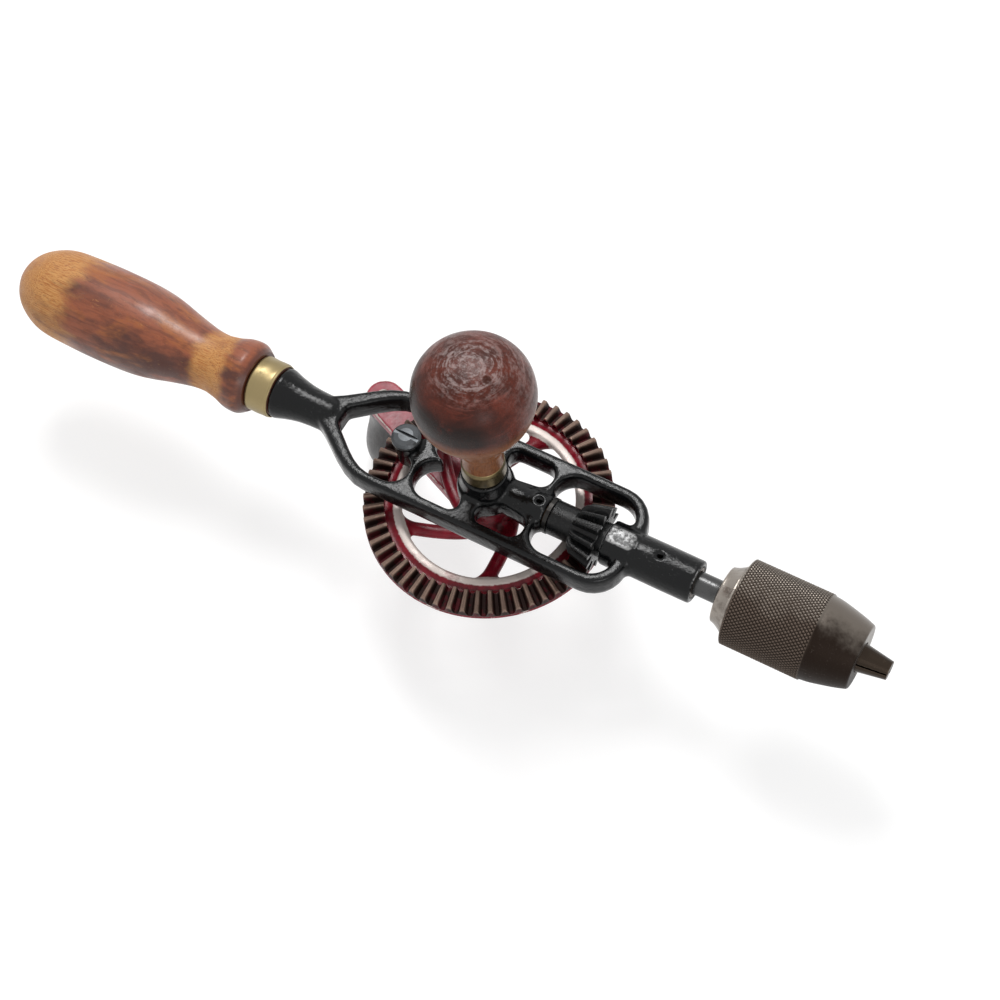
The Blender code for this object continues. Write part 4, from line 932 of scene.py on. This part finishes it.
@finish("Crank knob wood", Coat_Weight=0.2, Coat_Roughness=0.2)
def crank_knob_wood(board):
    made = bpy.context.scene.drill_knobs
    grain = wood_grain(board, Streaks=1.3, Upright=1.0)
    rubbed = worn_edges(board, Least_bend=0.08, Full_bend=0.5, Patch_size=6.0, Edges=0.4)["Rubbed"]
    smears = handling_marks(board, Scale=0.9)["Smears"]
    base = board.mix(grain["Streak"].ramp(0.35, 0.7), made.crank_knob, tinted(made.crank_knob, 0.5))
    base = board.mix(grain["Pores"] * 0.6, base, (0.006, 0.006, 0.006))
    base = board.mix(rubbed * 0.3, base, (0.13, 0.11, 0.1))
    rough = smears.ramp(0.3, 0.7, 0.3, 0.5)
    return {"Base_Color": base, "Roughness": rough, "Normal": board.bump(grain["Lines"], 0.1, 0.5)}


@finish("Sleeve steel", Specular_IOR_Level=0.15)
def sleeve_steel(board):
    """Brown grey steel: pale diamonds over grooves darkened with old brown film and painted shade,
    and a nose that is dark brown over most of its -Y side.
    """
    made = bpy.context.scene.drill_chuck
    knurl_end = low_x("chuck_sleeve") + KNURL_LENGTH
    place = board.place()
    scratches, smears = handling_marks(board, Scale=1.2).values()
    along, aside, _ = board.from_crossing()
    nose = along.ramp(knurl_end - 0.2, knurl_end + 0.6)
    crest = board.stored("crest").ramp(0.15, 0.85)
    patch = board.noise(place, 0.11, 5.0, 0.62) - 0.5
    level = aside + patch * 17.0
    forward = along.ramp(knurl_end - 16.0, knurl_end, 0.0, 2.5)
    # Dark brown over most of the -Y side in ragged patches, growing towards the nose.
    brown_on_minus_y = (level - forward).ramp(1.5, -8.0)
    pale = tinted(made.steel, 1.6)
    worn = board.mix(brown_on_minus_y * 0.7, pale, tinted(made.film_and_groove_shade, 2.4))
    # The grooves between the diamonds take the brown film darkened to near black: old film and
    # painted shade together.
    knurled = board.mix(crest, tinted(made.film_and_groove_shade, 0.5), worn)
    smooth = board.mix(brown_on_minus_y, tinted(made.steel, 1.2), tinted(made.film_and_groove_shade, 0.6))
    base = board.mix(nose, knurled, smooth)
    base = board.mix(scratches * 0.3, base, pale)
    rough = (brown_on_minus_y + smears * 0.4).ramp(0.1, 1.3, 0.32, 0.5)
    height = board.noise(place, 1.1, 4.0, 0.65) + scratches * -0.5
    return {
        "Base_Color": base, "Roughness": rough, "Metallic": brown_on_minus_y.ramp(0.0, 1.0, 0.85, 0.55),
        "Normal": board.bump(height, 0.08, 0.6),
    }


# Pieces

HANDLE_SHARES = (
    (0.0, 0.66), (0.028, 0.766), (0.05, 0.784), (0.08, 0.762), (0.116, 0.692),
    (0.139, 0.662), (0.169, 0.634), (0.207, 0.644), (0.25, 0.688), (0.32, 0.784),
    (0.38, 0.876), (0.44, 0.945), (0.52, 0.985), (0.646, 1.0), (0.76, 0.982),
    (0.829, 0.954), (0.876, 0.886), (0.923, 0.748), (0.958, 0.58), (0.985, 0.35),
)


def hand_turned(place, angle, radius):
    """The slight unevenness of a piece turned and sanded by hand."""
    wave = 0.5 * np.sin(3.0 * angle + place / 13.0)
    wave = wave + 0.5 * np.sin(2.0 * angle - place / 21.0 + 1.0)
    return UNEVENNESS * wave * np.minimum(radius / 6.0, 1.0)


def build_main_handle():
    """The turned handle, bored for the frame's tang, with a spigot inside the ferrule."""
    made = bpy.context.scene.drill_handle
    full, thick = made.handle_length / MM, made.handle_radius / MM - UNEVENNESS
    side = [(HANDLE_FRONT - full * along, thick * reach) for along, reach in HANDLE_SHARES]
    tail = HANDLE_FRONT - full
    line = eased([*side, (tail + full * 0.003, thick * 0.14), (tail, 0.0)], 7)
    spigot, bore_end = high_x("main_handle"), low_x("frame") - 0.3
    inside = filed([
        (bore_end, 0.0), (bore_end, 4.9), (spigot, 4.9), (spigot, 10.3), (HANDLE_FRONT, 10.3),
        side[0], line[1],
    ], 0.35, longest=6.0)
    mesh = spun("main_handle_turned", [*inside[:-1], *line[1:]], "X", steps=128, relief=hand_turned)
    look = varnished_wood()
    show("main_handle_turned", mesh, look, "frame_body", "varnished_wood", "main_handle", passes=4)


def build_handle_ferrule():
    made = bpy.context.scene.drill_handle
    rear, front = FERRULE_REAR, high_x("handle_ferrule")
    outer = made.ferrule_radius / MM
    inner = outer - 1.0
    line = filed([
        (rear, inner), (rear, outer - 0.25), (rear + 0.8, outer), (front - 1.2, outer - 0.1),
        (front - 0.6, outer - 0.35), (front, outer - 0.5), (front, inner),
    ], 0.25, closed=True, longest=0.6)

    def dents(place, angle, radius):
        return np.where(radius > inner + 0.3, -0.05 * (1 + np.sin(5.0 * angle + place)), 0.0)
    mesh = spun("handle_ferrule_spun", line, "X", steps=112, closed=True, relief=dents)
    show("handle_ferrule_spun", mesh, tarnished_brass(), "frame_body", "brass", "handle_ferrule")


def build_frame():
    """The casting: the frame's solid with finer tubes and facets, under one softened skin."""
    made = bpy.context.scene.drill_frame
    front = high_x("frame")
    body = copy_of("frame")
    facets = [
        bar((14.0, 5.0, 8.0), (58.3, 7.95 * side, 10.08 * up), math.radians(-45.0 * side * up), "X")
        for side in (-1, 1) for up in (-1, 1)
    ]
    body = cut_away(body, *facets)
    sleeve = spun("sleeve", filed([
        (66.2, 6.55), (66.2, 8.1), (67.0, 8.72), (80.0, 8.78), (front, 8.72), (front, 6.55),
    ], 0.35, closed=True), "X", steps=112, closed=True)
    eyelet = spun("eyelet", filed([
        (5.6, 0.0), (5.6, 3.9), (8.1, 3.3), (8.75, 2.9), (8.75, 0.0),
    ], 0.4), "Z", (REAR_OIL_HOLE, 0.0), 48)
    rear_hole, front_hole = (
        spun("hole", [(12.0, 0.0), (12.0, 1.7), (5.0, 1.7), (5.0, 0.0)], "Z", (x, 0.0), 40)
        for x in (REAR_OIL_HOLE, FRONT_OIL_HOLE)
    )
    dents = [
        bar((2.6, 0.8, 0.7), (81.5, 6.3, 6.2), math.radians(-45.0), "X"),
        bar((1.4, 0.6, 0.5), (86.0, 0.6, 8.75)),
    ]
    bore = spun("bore", [(30.5, 0.0), (30.5, 6.55), (16.0, 6.55), (16.0, 0.0)], "X", steps=48)
    sleeve = cut_away(sleeve, front_hole, *dents)
    eyelet = cut_away(eyelet, rear_hole, bore)
    mesh = cast(joined("frame_casting", body, sleeve, eyelet), made.skin, made.fillet)
    show("frame_casting", mesh, black_enamel(), "frame_body", "black_enamel", "frame", passes=3)


KNOB_SHARES = (
    (1.0, 0.0), (0.996, 0.2), (0.982, 0.4), (0.955, 0.585), (0.915, 0.75),
    (0.86, 0.88), (0.79, 0.965), (0.71, 0.998), (0.65, 0.995), (0.575, 0.945),
    (0.505, 0.85), (0.445, 0.735), (0.39, 0.62), (0.33, 0.515), (0.26, 0.43),
    (0.19, 0.38), (0.12, 0.355), (0.05, 0.35), (0.0, 0.35),
)


def dent(mesh, at, lowest):
    """Press a small round dent with a slightly raised rim into a skin that faces up."""
    spots = positions(mesh)
    gap = np.hypot(spots[:, 0] - at[0], spots[:, 1] - at[1])
    deep, wide = 0.75, 0.95
    rim_high, rim_reach, rim_wide = 0.05, 1.8, 0.6
    push = -deep * np.exp(-(gap / wide) ** 2)
    push = push + rim_high * np.exp(-((gap - rim_reach) / rim_wide) ** 2)
    spots[:, 2] += np.where(spots[:, 2] > lowest, push, 0.0)
    set_positions(mesh, spots)


def build_side_knob():
    made = bpy.context.scene.drill_knobs
    foot = low_z("side_knob")
    tall, wide = made.knob_length / MM, made.knob_radius / MM - UNEVENNESS
    line = eased([(foot + tall * along, wide * reach) for along, reach in KNOB_SHARES], 7)
    face = filed([line[-1], (foot, wide * 0.33), (foot, 0.0)], 0.3)

    def relief(place, angle, radius):
        groove = -0.45 * np.exp(-((place - foot - 0.155 * tall) / 0.5) ** 2)
        return hand_turned(place, angle, radius) + groove
    mesh = spun("side_knob_turned", [*line, *face[1:]], "Z", steps=160, relief=relief)
    dent(mesh, KNOB_DENT, foot + tall * 0.9)
    look = side_knob_wood()
    show("side_knob_turned", mesh, look, "frame_body", "dark_wood", "side_knob", passes=4)


def build_side_knob_ferrule():
    low, high = low_z("side_knob_ferrule"), high_z("side_knob_ferrule")
    outer = size("side_knob_ferrule").x / 2.0 / MM
    made = bpy.context.scene.drill_knobs
    inner = 4.0
    line = filed([
        (low, inner), (low, outer - 0.7), (low + 1.2, outer), (high - 1.6, outer - 0.2),
        (high, outer - 0.8), (high, inner),
    ], 0.4, closed=True, longest=0.8)
    look = metal(
        "Knob ferrule", made.ferrule, (0.02, 0.018, 0.014),
        0.45, (0.3, 0.5), (0.9, 0.5),
    )
    mesh = spun("side_knob_ferrule_spun", line, "Z", steps=96, closed=True)
    show("side_knob_ferrule_spun", mesh, look, "frame_body", "steel", "side_knob_ferrule")


def build_knobs():
    build_side_knob()
    build_side_knob_ferrule()


def tooth_rise(turned, count, tip, root):
    """Share of a tooth's height at an angle; a tooth stands half a pitch past angle zero."""
    share = np.abs((turned * count / (2 * math.pi)) % 1.0 - 0.5)
    plain = np.clip((root - share) / (root - tip), 0.0, 1.0)
    return 0.5 * plain + 0.5 * plain ** 2 * (3 - 2 * plain)


def toothed_ring(count):
    """The ring of bevel teeth; tips and roots run to the crossing of the axes."""
    outer, inner = size("drive_gear").y / 2.0 / MM - 0.3, TEETH_REACH
    middle_reaches = np.linspace(42.0, outer - 0.5, 9)
    reaches = np.array([inner, inner + 0.25, *middle_reaches, outer - 0.15, outer])
    drops = np.array([0.3, 0.06, *[0.0] * 9, 0.08, 0.35])
    steps = count * 16
    turned = np.arange(steps) * 2 * math.pi / steps
    uneven = 0.05 * np.sin(turned * 7.0) + 0.04 * np.sin(turned * 19.0 + 1.0)
    rise = tooth_rise(turned, count, 0.11, 0.37)
    floor = np.full(steps, -14.6)
    spots = []
    root_high, tooth_tall, full_reach = -13.5, 3.84, 50.0
    for reach, drop in zip(reaches, drops):
        high = (root_high + tooth_tall * rise) * reach / full_reach - drop * rise + uneven * rise
        spots.append(np.stack([reach * np.cos(turned), reach * np.sin(turned), high], axis=-1))
    for reach, low in ((outer, floor), (inner + 1.0, np.full(steps, -12.2))):
        spots.append(np.stack([reach * np.cos(turned), reach * np.sin(turned), low], axis=-1))
    return mesh_of("teeth", np.vstack(spots), band_faces(len(spots), steps, closed=True))


def curved_spoke(number):
    """A bar that sweeps from the rim to the hub, with a wide foot at each end."""
    steps, corners = 28, 20
    share = np.linspace(0.0, 1.0, steps)[:, None]
    rim, hub = 36.7, 8.4
    reach = rim + (hub - rim) * share
    turned = math.radians(8.0 + 72.0 * number) + math.radians(24.5) * (rim / reach - 1.0)
    high = -13.4 - 3.2 * np.sin(share * math.pi / 2)
    spine = np.hstack([reach * np.cos(turned), reach * np.sin(turned), high])
    ahead = np.gradient(spine, axis=0)
    across = np.cross(ahead, (0.0, 0.0, 1.0))
    across /= np.linalg.norm(across, axis=1)[:, None]
    foot = np.maximum(1.0 - share / 0.2, 0.0) ** 2
    root = np.maximum(1.0 - (1.0 - share) / 0.2, 0.0) ** 2
    wide = 3.0 * (1.0 + 0.95 * foot + 0.3 * root)
    deep = 2.2 * (1.0 + 0.15 * (2.0 * share - 1.0) ** 4)
    rings = []
    for corner in range(corners):
        angle = 2 * math.pi * corner / corners
        upright = np.array([0.0, 0.0, 1.0]) * deep * math.sin(angle)
        rings.append(spine + across * wide * math.cos(angle) + upright)
    spots = np.stack(rings, axis=1).reshape(-1, 3)
    faces = [tuple(range(corners))[::-1], tuple(range((steps - 1) * corners, steps * corners))]
    return mesh_of("spoke", spots, [*faces, *band_faces(steps, corners)])


def build_gear():
    """A cast web with rim, lip and spokes, and the finer ring of teeth sunk into its rim."""
    made = bpy.context.scene.drill_gear
    wide = size("drive_gear").y / 2.0 / MM
    rim = spun("rim", filed([
        (-11.55, 41.9), (-13.9, wide - 0.5), (-14.4, wide), (-15.3, wide), (-15.84, wide - 0.6),
        (-15.84, 38.5), (-13.1, 34.4), (-11.5, 34.4), (-10.7, 35.1), (-10.7, 37.7), (-11.2, 38.6),
        (-11.75, 39.3), (-11.8, 40.6), (-11.7, 41.1),
    ], 0.7, closed=True, longest=0.8), "Z", steps=360, closed=True)
    top, low = high_z("crank_arm"), low_z("crank_arm")
    hub_top = low_z("gear_washer") - 0.3
    hub = spun("hub", filed([
        (hub_top, 5.2), (hub_top, 9.2), (-12.0, 9.6), (top + 0.3, 9.9), (top + 0.3, 6.7),
        (low, 6.7), (low, 5.2),
    ], 0.5, closed=True, longest=0.8), "Z", steps=120, closed=True)
    spokes = [curved_spoke(number) for number in range(5)]
    web = cast(joined("web", rim, hub, *spokes), 0.47 * MM, 1.5 * MM)
    mesh = joined("drive_gear_cut", web, toothed_ring(made.tooth_count))
    look = gear_finish()
    show("drive_gear_cut", mesh, look, "crank_body", "red_enamel", "drive_gear", sharp=50.0)


def build_crank():
    mesh = cast(copy_of("crank_arm"), 0.4 * MM)
    show("crank_arm_forged", mesh, red_enamel(), "crank_body", "red_enamel", "crank_arm", passes=2)


CRANK_KNOB_SHARES = (
    (0.0, 0.6), (0.03, 0.66), (0.08, 0.64), (0.2, 0.66), (0.35, 0.76), (0.5, 0.89),
    (0.64, 0.98), (0.75, 1.0), (0.85, 0.95), (0.93, 0.8), (0.98, 0.62), (1.0, 0.5),
)


def build_crank_knob():
    low, high = low_z("crank_knob"), high_z("crank_knob")
    tall, wide = high - low, size("crank_knob").x / 2.0 / MM
    line = eased([(high - tall * along, wide * reach) for along, reach in CRANK_KNOB_SHARES])
    inside = filed([
        line[-1], (low, 5.3), (low + 1.8, 5.3), (low + 1.8, 3.1), (high, 3.1), line[0],
    ], 0.2)
    at = ((CRANK_PIN.x - CROSSING.x) / MM, (CRANK_PIN.y - CROSSING.y) / MM)
    mesh = spun("crank_knob_turned", [*line, *inside[1:-1]], "Z", at, closed=True)
    look = crank_knob_wood()
    show("crank_knob_turned", mesh, look, "crank_knob_body", "grey_wood", "crank_knob", passes=3)


def knurl(count, depth, start, end):
    """Diamond knurling: grooves that cross at equal slopes between two places."""
    def crest(place, angle):
        pitch = (end - start) / round((end - start) / 2.0)
        around = angle * count / (2 * math.pi)
        onward = (place - start) / pitch
        one = np.abs((around + onward) % 1.0 - 0.5)
        other = np.abs((around - onward) % 1.0 - 0.5)
        rise = np.minimum((0.5 - np.maximum(one, other)) / 0.34, 1.0)
        return np.where((place > start) & (place < end), rise, 1.0)

    def relief(place, angle, radius):
        return np.where(radius > 16.0, depth * (crest(place, angle) - 1.0), 0.0)
    return crest, relief


def build_chuck_sleeve():
    made = bpy.context.scene.drill_chuck
    rear, end = low_x("chuck_sleeve"), high_x("chuck_sleeve")
    wide = made.sleeve_radius / MM
    knurl_end = rear + KNURL_LENGTH
    count = made.knurl_count
    shares = (
        (0.0, 1.0), (0.18, 0.91), (0.35, 0.76), (0.52, 0.59), (0.7, 0.4), (0.86, 0.2), (1.0, 0.0)
    )
    nose_radius = 12.9
    nose_start, nose_rise = knurl_end + 0.6, wide - 0.5 - nose_radius
    nose = eased([
        (nose_start + (end - nose_start) * along, nose_radius + nose_rise * rise)
        for along, rise in shares
    ], 5)
    bore = filed([
        (end, 11.5), (end, 6.1), (rear + 40.0, 10.0), (rear + 38.0, 14.0), (rear, 14.0),
        (rear, 16.2),
    ], 0.3, longest=8.0)
    rows = 16 * 8
    body = [(rear + 0.5 + (knurl_end - rear - 0.5) * step / rows, wide) for step in range(rows + 1)]
    start = [(rear, 16.9), (rear + 0.15, 17.2), (rear + 0.3, 17.4)]
    rim = [(end - 0.25, nose_radius), (end, nose_radius - 0.3)]
    line = [*start, *body, *nose[:-1], *rim, *bore[:-1]]
    crest, relief = knurl(count, made.knurl_depth / MM, rear + 0.5, knurl_end)
    mesh = spun("chuck_sleeve_knurled", line, "X", steps=count * 7, closed=True, relief=relief)
    along, aside, above = positions(mesh).T
    store(mesh, "crest", crest(along, np.arctan2(above, aside)))
    look = sleeve_steel()
    show(
        "chuck_sleeve_knurled", mesh, look, "sleeve_body", "dark_steel", "chuck_sleeve",
        passes=0, sharp=60.0,
    )


def build_chuck():
    made = bpy.context.scene.drill_chuck
    build_chuck_sleeve()
    body = cast(copy_of("chuck_body"), 0.3 * MM, 0.0, 3)
    collar = metal(
        "Collar steel", (0.29, 0.26, 0.23), (0.08, 0.062, 0.05),
        0.44, (0.28, 0.45), (0.95, 0.7),
    )
    show("chuck_body_turned", body, collar, "spindle_body", "dark_steel", "chuck_body", passes=2)
    look = metal("Jaw steel", made.jaw, made.film_and_groove_shade, 0.55, (0.3, 0.5), (0.9, 0.6))
    for number in (1, 2, 3):
        jaw = cast(copy_of(f"chuck_jaw_{number}"), 0.22 * MM, 0.0, 2)
        name, body = f"chuck_jaw_{number}", f"jaw_{number}_body"
        show(f"{name}_ground", jaw, look, body, "dark_steel", name)


def pinion_teeth(place, angle, radius):
    """Thirteen teeth that rise from the hub in rounded backs; one points at the gear."""
    turned = angle + math.pi / 2 + math.pi / PINION_TEETH
    rise = tooth_rise(turned, PINION_TEETH, 0.075, 0.3)
    behind = PINION_BACK - np.minimum(place, PINION_BACK)
    back = np.sqrt(np.clip(1.0 - (behind / 3.6) ** 2, 0.0, 1.0))
    root, tip = 0.182 * place, 0.2615 * place
    grown = np.where(place > PINION_FRONT, 0.0, back * (root - PINION_HUB + (tip - root) * rise))
    return np.where(radius > 6.0, grown, 0.0)


def build_spindle():
    """The turned spindle and the pinion that is pinned to it."""
    made = bpy.context.scene.drill_chuck
    low, high = low_x("spindle"), high_x("spindle")
    look = metal(
        "Spindle steel", made.spindle, (0.03, 0.028, 0.027),
        0.5, (0.25, 0.42), (0.9, 0.6),
    )
    nose = high - 15.0
    line = filed([
        (low, 0.0), (low, 4.75), (nose, 4.75), (nose, 4.2), (high, 4.2), (high, 0.0),
    ], 0.4)
    mesh = spun("spindle_turned", line, "X", steps=72)
    show("spindle_turned", mesh, look, "spindle_body", "steel", "spindle")
    rear, front = low_x("pinion"), high_x("pinion")
    hub = filed([
        (rear, 5.05), (rear, PINION_HUB), (33.0, PINION_HUB), (38.9, PINION_HUB),
    ], 0.5, longest=0.5)
    teeth = [(39.1 + 0.3 * step, PINION_HUB) for step in range(41)]
    end = filed([
        (PINION_FRONT, PINION_HUB), (51.24, PINION_HUB), (front, PINION_HUB), (front, 5.05),
    ], 0.3, longest=0.5)
    line = [*hub, *teeth[:-1], (51.05, PINION_HUB), *end]
    steps = PINION_TEETH * 20
    mesh = spun("pinion_cut", line, "X", steps=steps, closed=True, relief=pinion_teeth)
    show("pinion_cut", mesh, pinion_finish(), "spindle_body", "black_enamel", "pinion", sharp=50.0)


def dress_fittings():
    """Give the nodes that keep their solids a finish of their own."""
    made = bpy.context.scene.drill_chuck
    steel, dark, bronze, screw = (metal(*values) for values in (
        ("Fitting steel", (0.3, 0.29, 0.27), made.film_and_groove_shade, 0.55, (0.28, 0.5), (1.0, 0.6)),
        ("Dark fitting", (0.03, 0.028, 0.026), (0.012, 0.01, 0.009), 0.5, (0.35, 0.55), (0.8, 0.5)),
        (
            "Bearing bronze", (0.06, 0.036, 0.018), (0.02, 0.013, 0.008),
            0.45, (0.35, 0.55), (0.9, 0.5),
        ),
        (
            "Screw steel", (0.075, 0.08, 0.085), (0.015, 0.015, 0.015),
            0.46, (0.42, 0.58), (0.8, 0.5),
        ),
    ))
    looks = {
        "side_knob_stud": steel, "gear_axle": steel, "gear_washer": steel, "axle_washer": steel,
        "crank_pin": steel, "gear_steady_screw": screw, "pinion_pin": dark, "chuck_nut": steel,
        "rear_bush": bronze, "front_bush": bronze, "thrust_washer": dark,
    }
    for node, look in looks.items():
        slots = NODES[node].data.materials
        slots.clear()
        slots.append(look)
        edge = NODES[node].modifiers.new("Broken edges", "BEVEL")
        edge.width = 0.15 * MM
        edge.segments = 2
        edge.limit_method = "ANGLE"
        edge.angle_limit = math.radians(35.0)


# Stage

def stage_floor():
    made = bpy.context.scene.drill_stage
    shape = bmesh.new()
    bmesh.ops.create_circle(shape, cap_ends=True, segments=96, radius=6.0)
    floor = placed("floor", taken("floor", shape))
    look = bpy.data.materials.new("Floor")
    look.use_nodes = True
    look.node_tree.nodes.clear()
    board = Board(look.node_tree)
    plain = board.put("ShaderNodeBsdfDiffuse", {"Color": (*made.floor, 1.0)})
    half_lit = board.put("ShaderNodeBsdfDiffuse", {"Color": (0.45, 0.45, 0.45, 1.0)})
    glow = board.put("ShaderNodeEmission", {"Color": (1.0, 1.0, 1.0, 1.0), "Strength": 0.62})
    shown = board.put("ShaderNodeAddShader", {0: half_lit, 1: glow})
    surface = board.put("ShaderNodeMixShader", {0: seen_rays(board), 1: plain, 2: shown})
    board.node("ShaderNodeOutputMaterial", {"Surface": surface})
    floor.data.materials.append(look)


def seen_rays(board):
    """One for the rays that come from the camera, straight, off gloss or through glass."""
    path = board.outputs("ShaderNodeLightPath")
    total = board.larger(path["Is Camera Ray"], path["Is Glossy Ray"])
    return board.larger(total, path["Is Transmission Ray"])


def stage_light():
    made = bpy.context.scene.drill_stage
    world = bpy.data.worlds.new("Studio")
    bpy.context.scene.world = world
    world.use_nodes = True
    world.node_tree.nodes.clear()
    board = Board(world.node_tree)
    shares = {"Value": seen_rays(board), "To Min": made.daylight, "To Max": 1.0}
    strength = board.put("ShaderNodeMapRange", shares)
    glow = {"Color": (1.0, 1.0, 1.0, 1.0), "Strength": strength}
    board.node("ShaderNodeOutputWorld", {"Surface": board.put("ShaderNodeBackground", glow)})
    for name, spot, wide, power in (
        ("Softbox", Vector((-0.28, 0.43, 1.0)), 0.36, made.softbox),
        ("Strip", Vector((0.7, -0.6, 0.5)), 0.4, made.softbox * 0.25),
    ):
        lamp = bpy.data.lights.new(name, "AREA")
        lamp.energy = power
        lamp.size = wide
        item = placed(name, lamp)
        item.location = CROSSING + spot
        item.rotation_euler = (-spot).to_track_quat("-Z", "Y").to_euler()


# Camera, as found by fitting the photograph's view of the axes and round parts
CAMERA_AXES = (
    (0.87270234, 0.48416068, -0.06307989),
    (-0.40010876, 0.78320494, 0.47592332),
    (0.27982783, -0.39010058, 0.87722171),
)
CAMERA_SPOT = Vector((239.287, -325.849, 726.041))
CAMERA_LENS = 76.43


def stage_camera():
    data = bpy.data.cameras.new("Camera")
    data.sensor_width = 36.0
    data.lens = CAMERA_LENS
    data.clip_start = 0.01
    data.clip_end = 50.0
    camera = placed("Camera", data)
    axes = Matrix(CAMERA_AXES).transposed().to_4x4()
    camera.matrix_world = Matrix.Translation(CROSSING + CAMERA_SPOT * MM) @ axes
    bpy.context.scene.camera = camera


# Buttons

class Piece:
    bl_options = {"REGISTER", "UNDO"}


class DRILL_OT_handle(Piece, bpy.types.Operator):
    """Turn the wooden handle and its brass ferrule"""
    bl_idname = "drill.handle"
    bl_label = "Handle and Ferrule"

    def execute(self, context):
        build_main_handle()
        build_handle_ferrule()
        return {"FINISHED"}


class DRILL_OT_frame(Piece, bpy.types.Operator):
    """Cast the black enamelled frame"""
    bl_idname = "drill.frame"
    bl_label = "Frame"

    def execute(self, context):
        build_frame()
        return {"FINISHED"}


class DRILL_OT_side_knob(Piece, bpy.types.Operator):
    """Turn the side knob and its ferrule"""
    bl_idname = "drill.side_knob"
    bl_label = "Side Knob"

    def execute(self, context):
        build_knobs()
        return {"FINISHED"}


class DRILL_OT_gear(Piece, bpy.types.Operator):
    """Make the red drive gear"""
    bl_idname = "drill.gear"
    bl_label = "Drive Gear"

    def execute(self, context):
        build_gear()
        return {"FINISHED"}


class DRILL_OT_crank(Piece, bpy.types.Operator):
    """Make the crank arm and its knob"""
    bl_idname = "drill.crank"
    bl_label = "Crank and Knob"

    def execute(self, context):
        build_crank()
        build_crank_knob()
        return {"FINISHED"}


class DRILL_OT_spindle(Piece, bpy.types.Operator):
    """Turn the spindle and cut the pinion"""
    bl_idname = "drill.spindle"
    bl_label = "Spindle and Pinion"

    def execute(self, context):
        build_spindle()
        return {"FINISHED"}


class DRILL_OT_chuck(Piece, bpy.types.Operator):
    """Make the knurled sleeve, the collar and the jaws"""
    bl_idname = "drill.chuck"
    bl_label = "Chuck"

    def execute(self, context):
        build_chuck()
        return {"FINISHED"}


class DRILL_OT_fittings(Piece, bpy.types.Operator):
    """Finish the screws, washers, pins and bearings"""
    bl_idname = "drill.fittings"
    bl_label = "Small Fittings"

    def execute(self, context):
        dress_fittings()
        return {"FINISHED"}


class DRILL_OT_stage(Piece, bpy.types.Operator):
    """Lay the floor and place the lamps and the camera"""
    bl_idname = "drill.stage"
    bl_label = "Stage"

    def execute(self, context):
        stage_floor()
        stage_light()
        stage_camera()
        return {"FINISHED"}


BUTTONS = (
    DRILL_OT_handle, DRILL_OT_frame, DRILL_OT_side_knob, DRILL_OT_gear, DRILL_OT_crank,
    DRILL_OT_spindle, DRILL_OT_chuck, DRILL_OT_fittings, DRILL_OT_stage,
)
SETTINGS = {
    "drill_handle": DrillHandleSettings, "drill_frame": DrillFrameSettings,
    "drill_knobs": DrillKnobSettings, "drill_gear": DrillGearSettings,
    "drill_chuck": DrillChuckSettings, "drill_stage": DrillStageSettings,
}


class DRILL_PT_builder(bpy.types.Panel):
    """Lists the drill's pieces and their sizes and colours"""
    bl_label = "Hand Drill"
    bl_space_type = "VIEW_3D"
    bl_region_type = "UI"
    bl_category = "Hand Drill"

    def draw(self, context):
        for button in BUTTONS:
            self.layout.operator(button.bl_idname)
        for name, group in SETTINGS.items():
            box = self.layout.box()
            for field in group.__annotations__:
                box.prop(getattr(context.scene, name), field)


def register():
    for group in SETTINGS.values():
        bpy.utils.register_class(group)
    for name, group in SETTINGS.items():
        setattr(bpy.types.Scene, name, PointerProperty(type=group))
    for button in BUTTONS:
        bpy.utils.register_class(button)
    bpy.utils.register_class(DRILL_PT_builder)


def unregister():
    bpy.utils.unregister_class(DRILL_PT_builder)
    for button in reversed(BUTTONS):
        bpy.utils.unregister_class(button)
    for name in SETTINGS:
        delattr(bpy.types.Scene, name)
    for group in SETTINGS.values():
        bpy.utils.unregister_class(group)


def main():
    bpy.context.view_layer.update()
    register()
    scene = bpy.context.scene
    scene.view_settings.view_transform = "Standard"
    for button in BUTTONS:
        group, name = button.bl_idname.split(".")
        getattr(getattr(bpy.ops, group), name)()


if __name__ == "__main__":
    main()
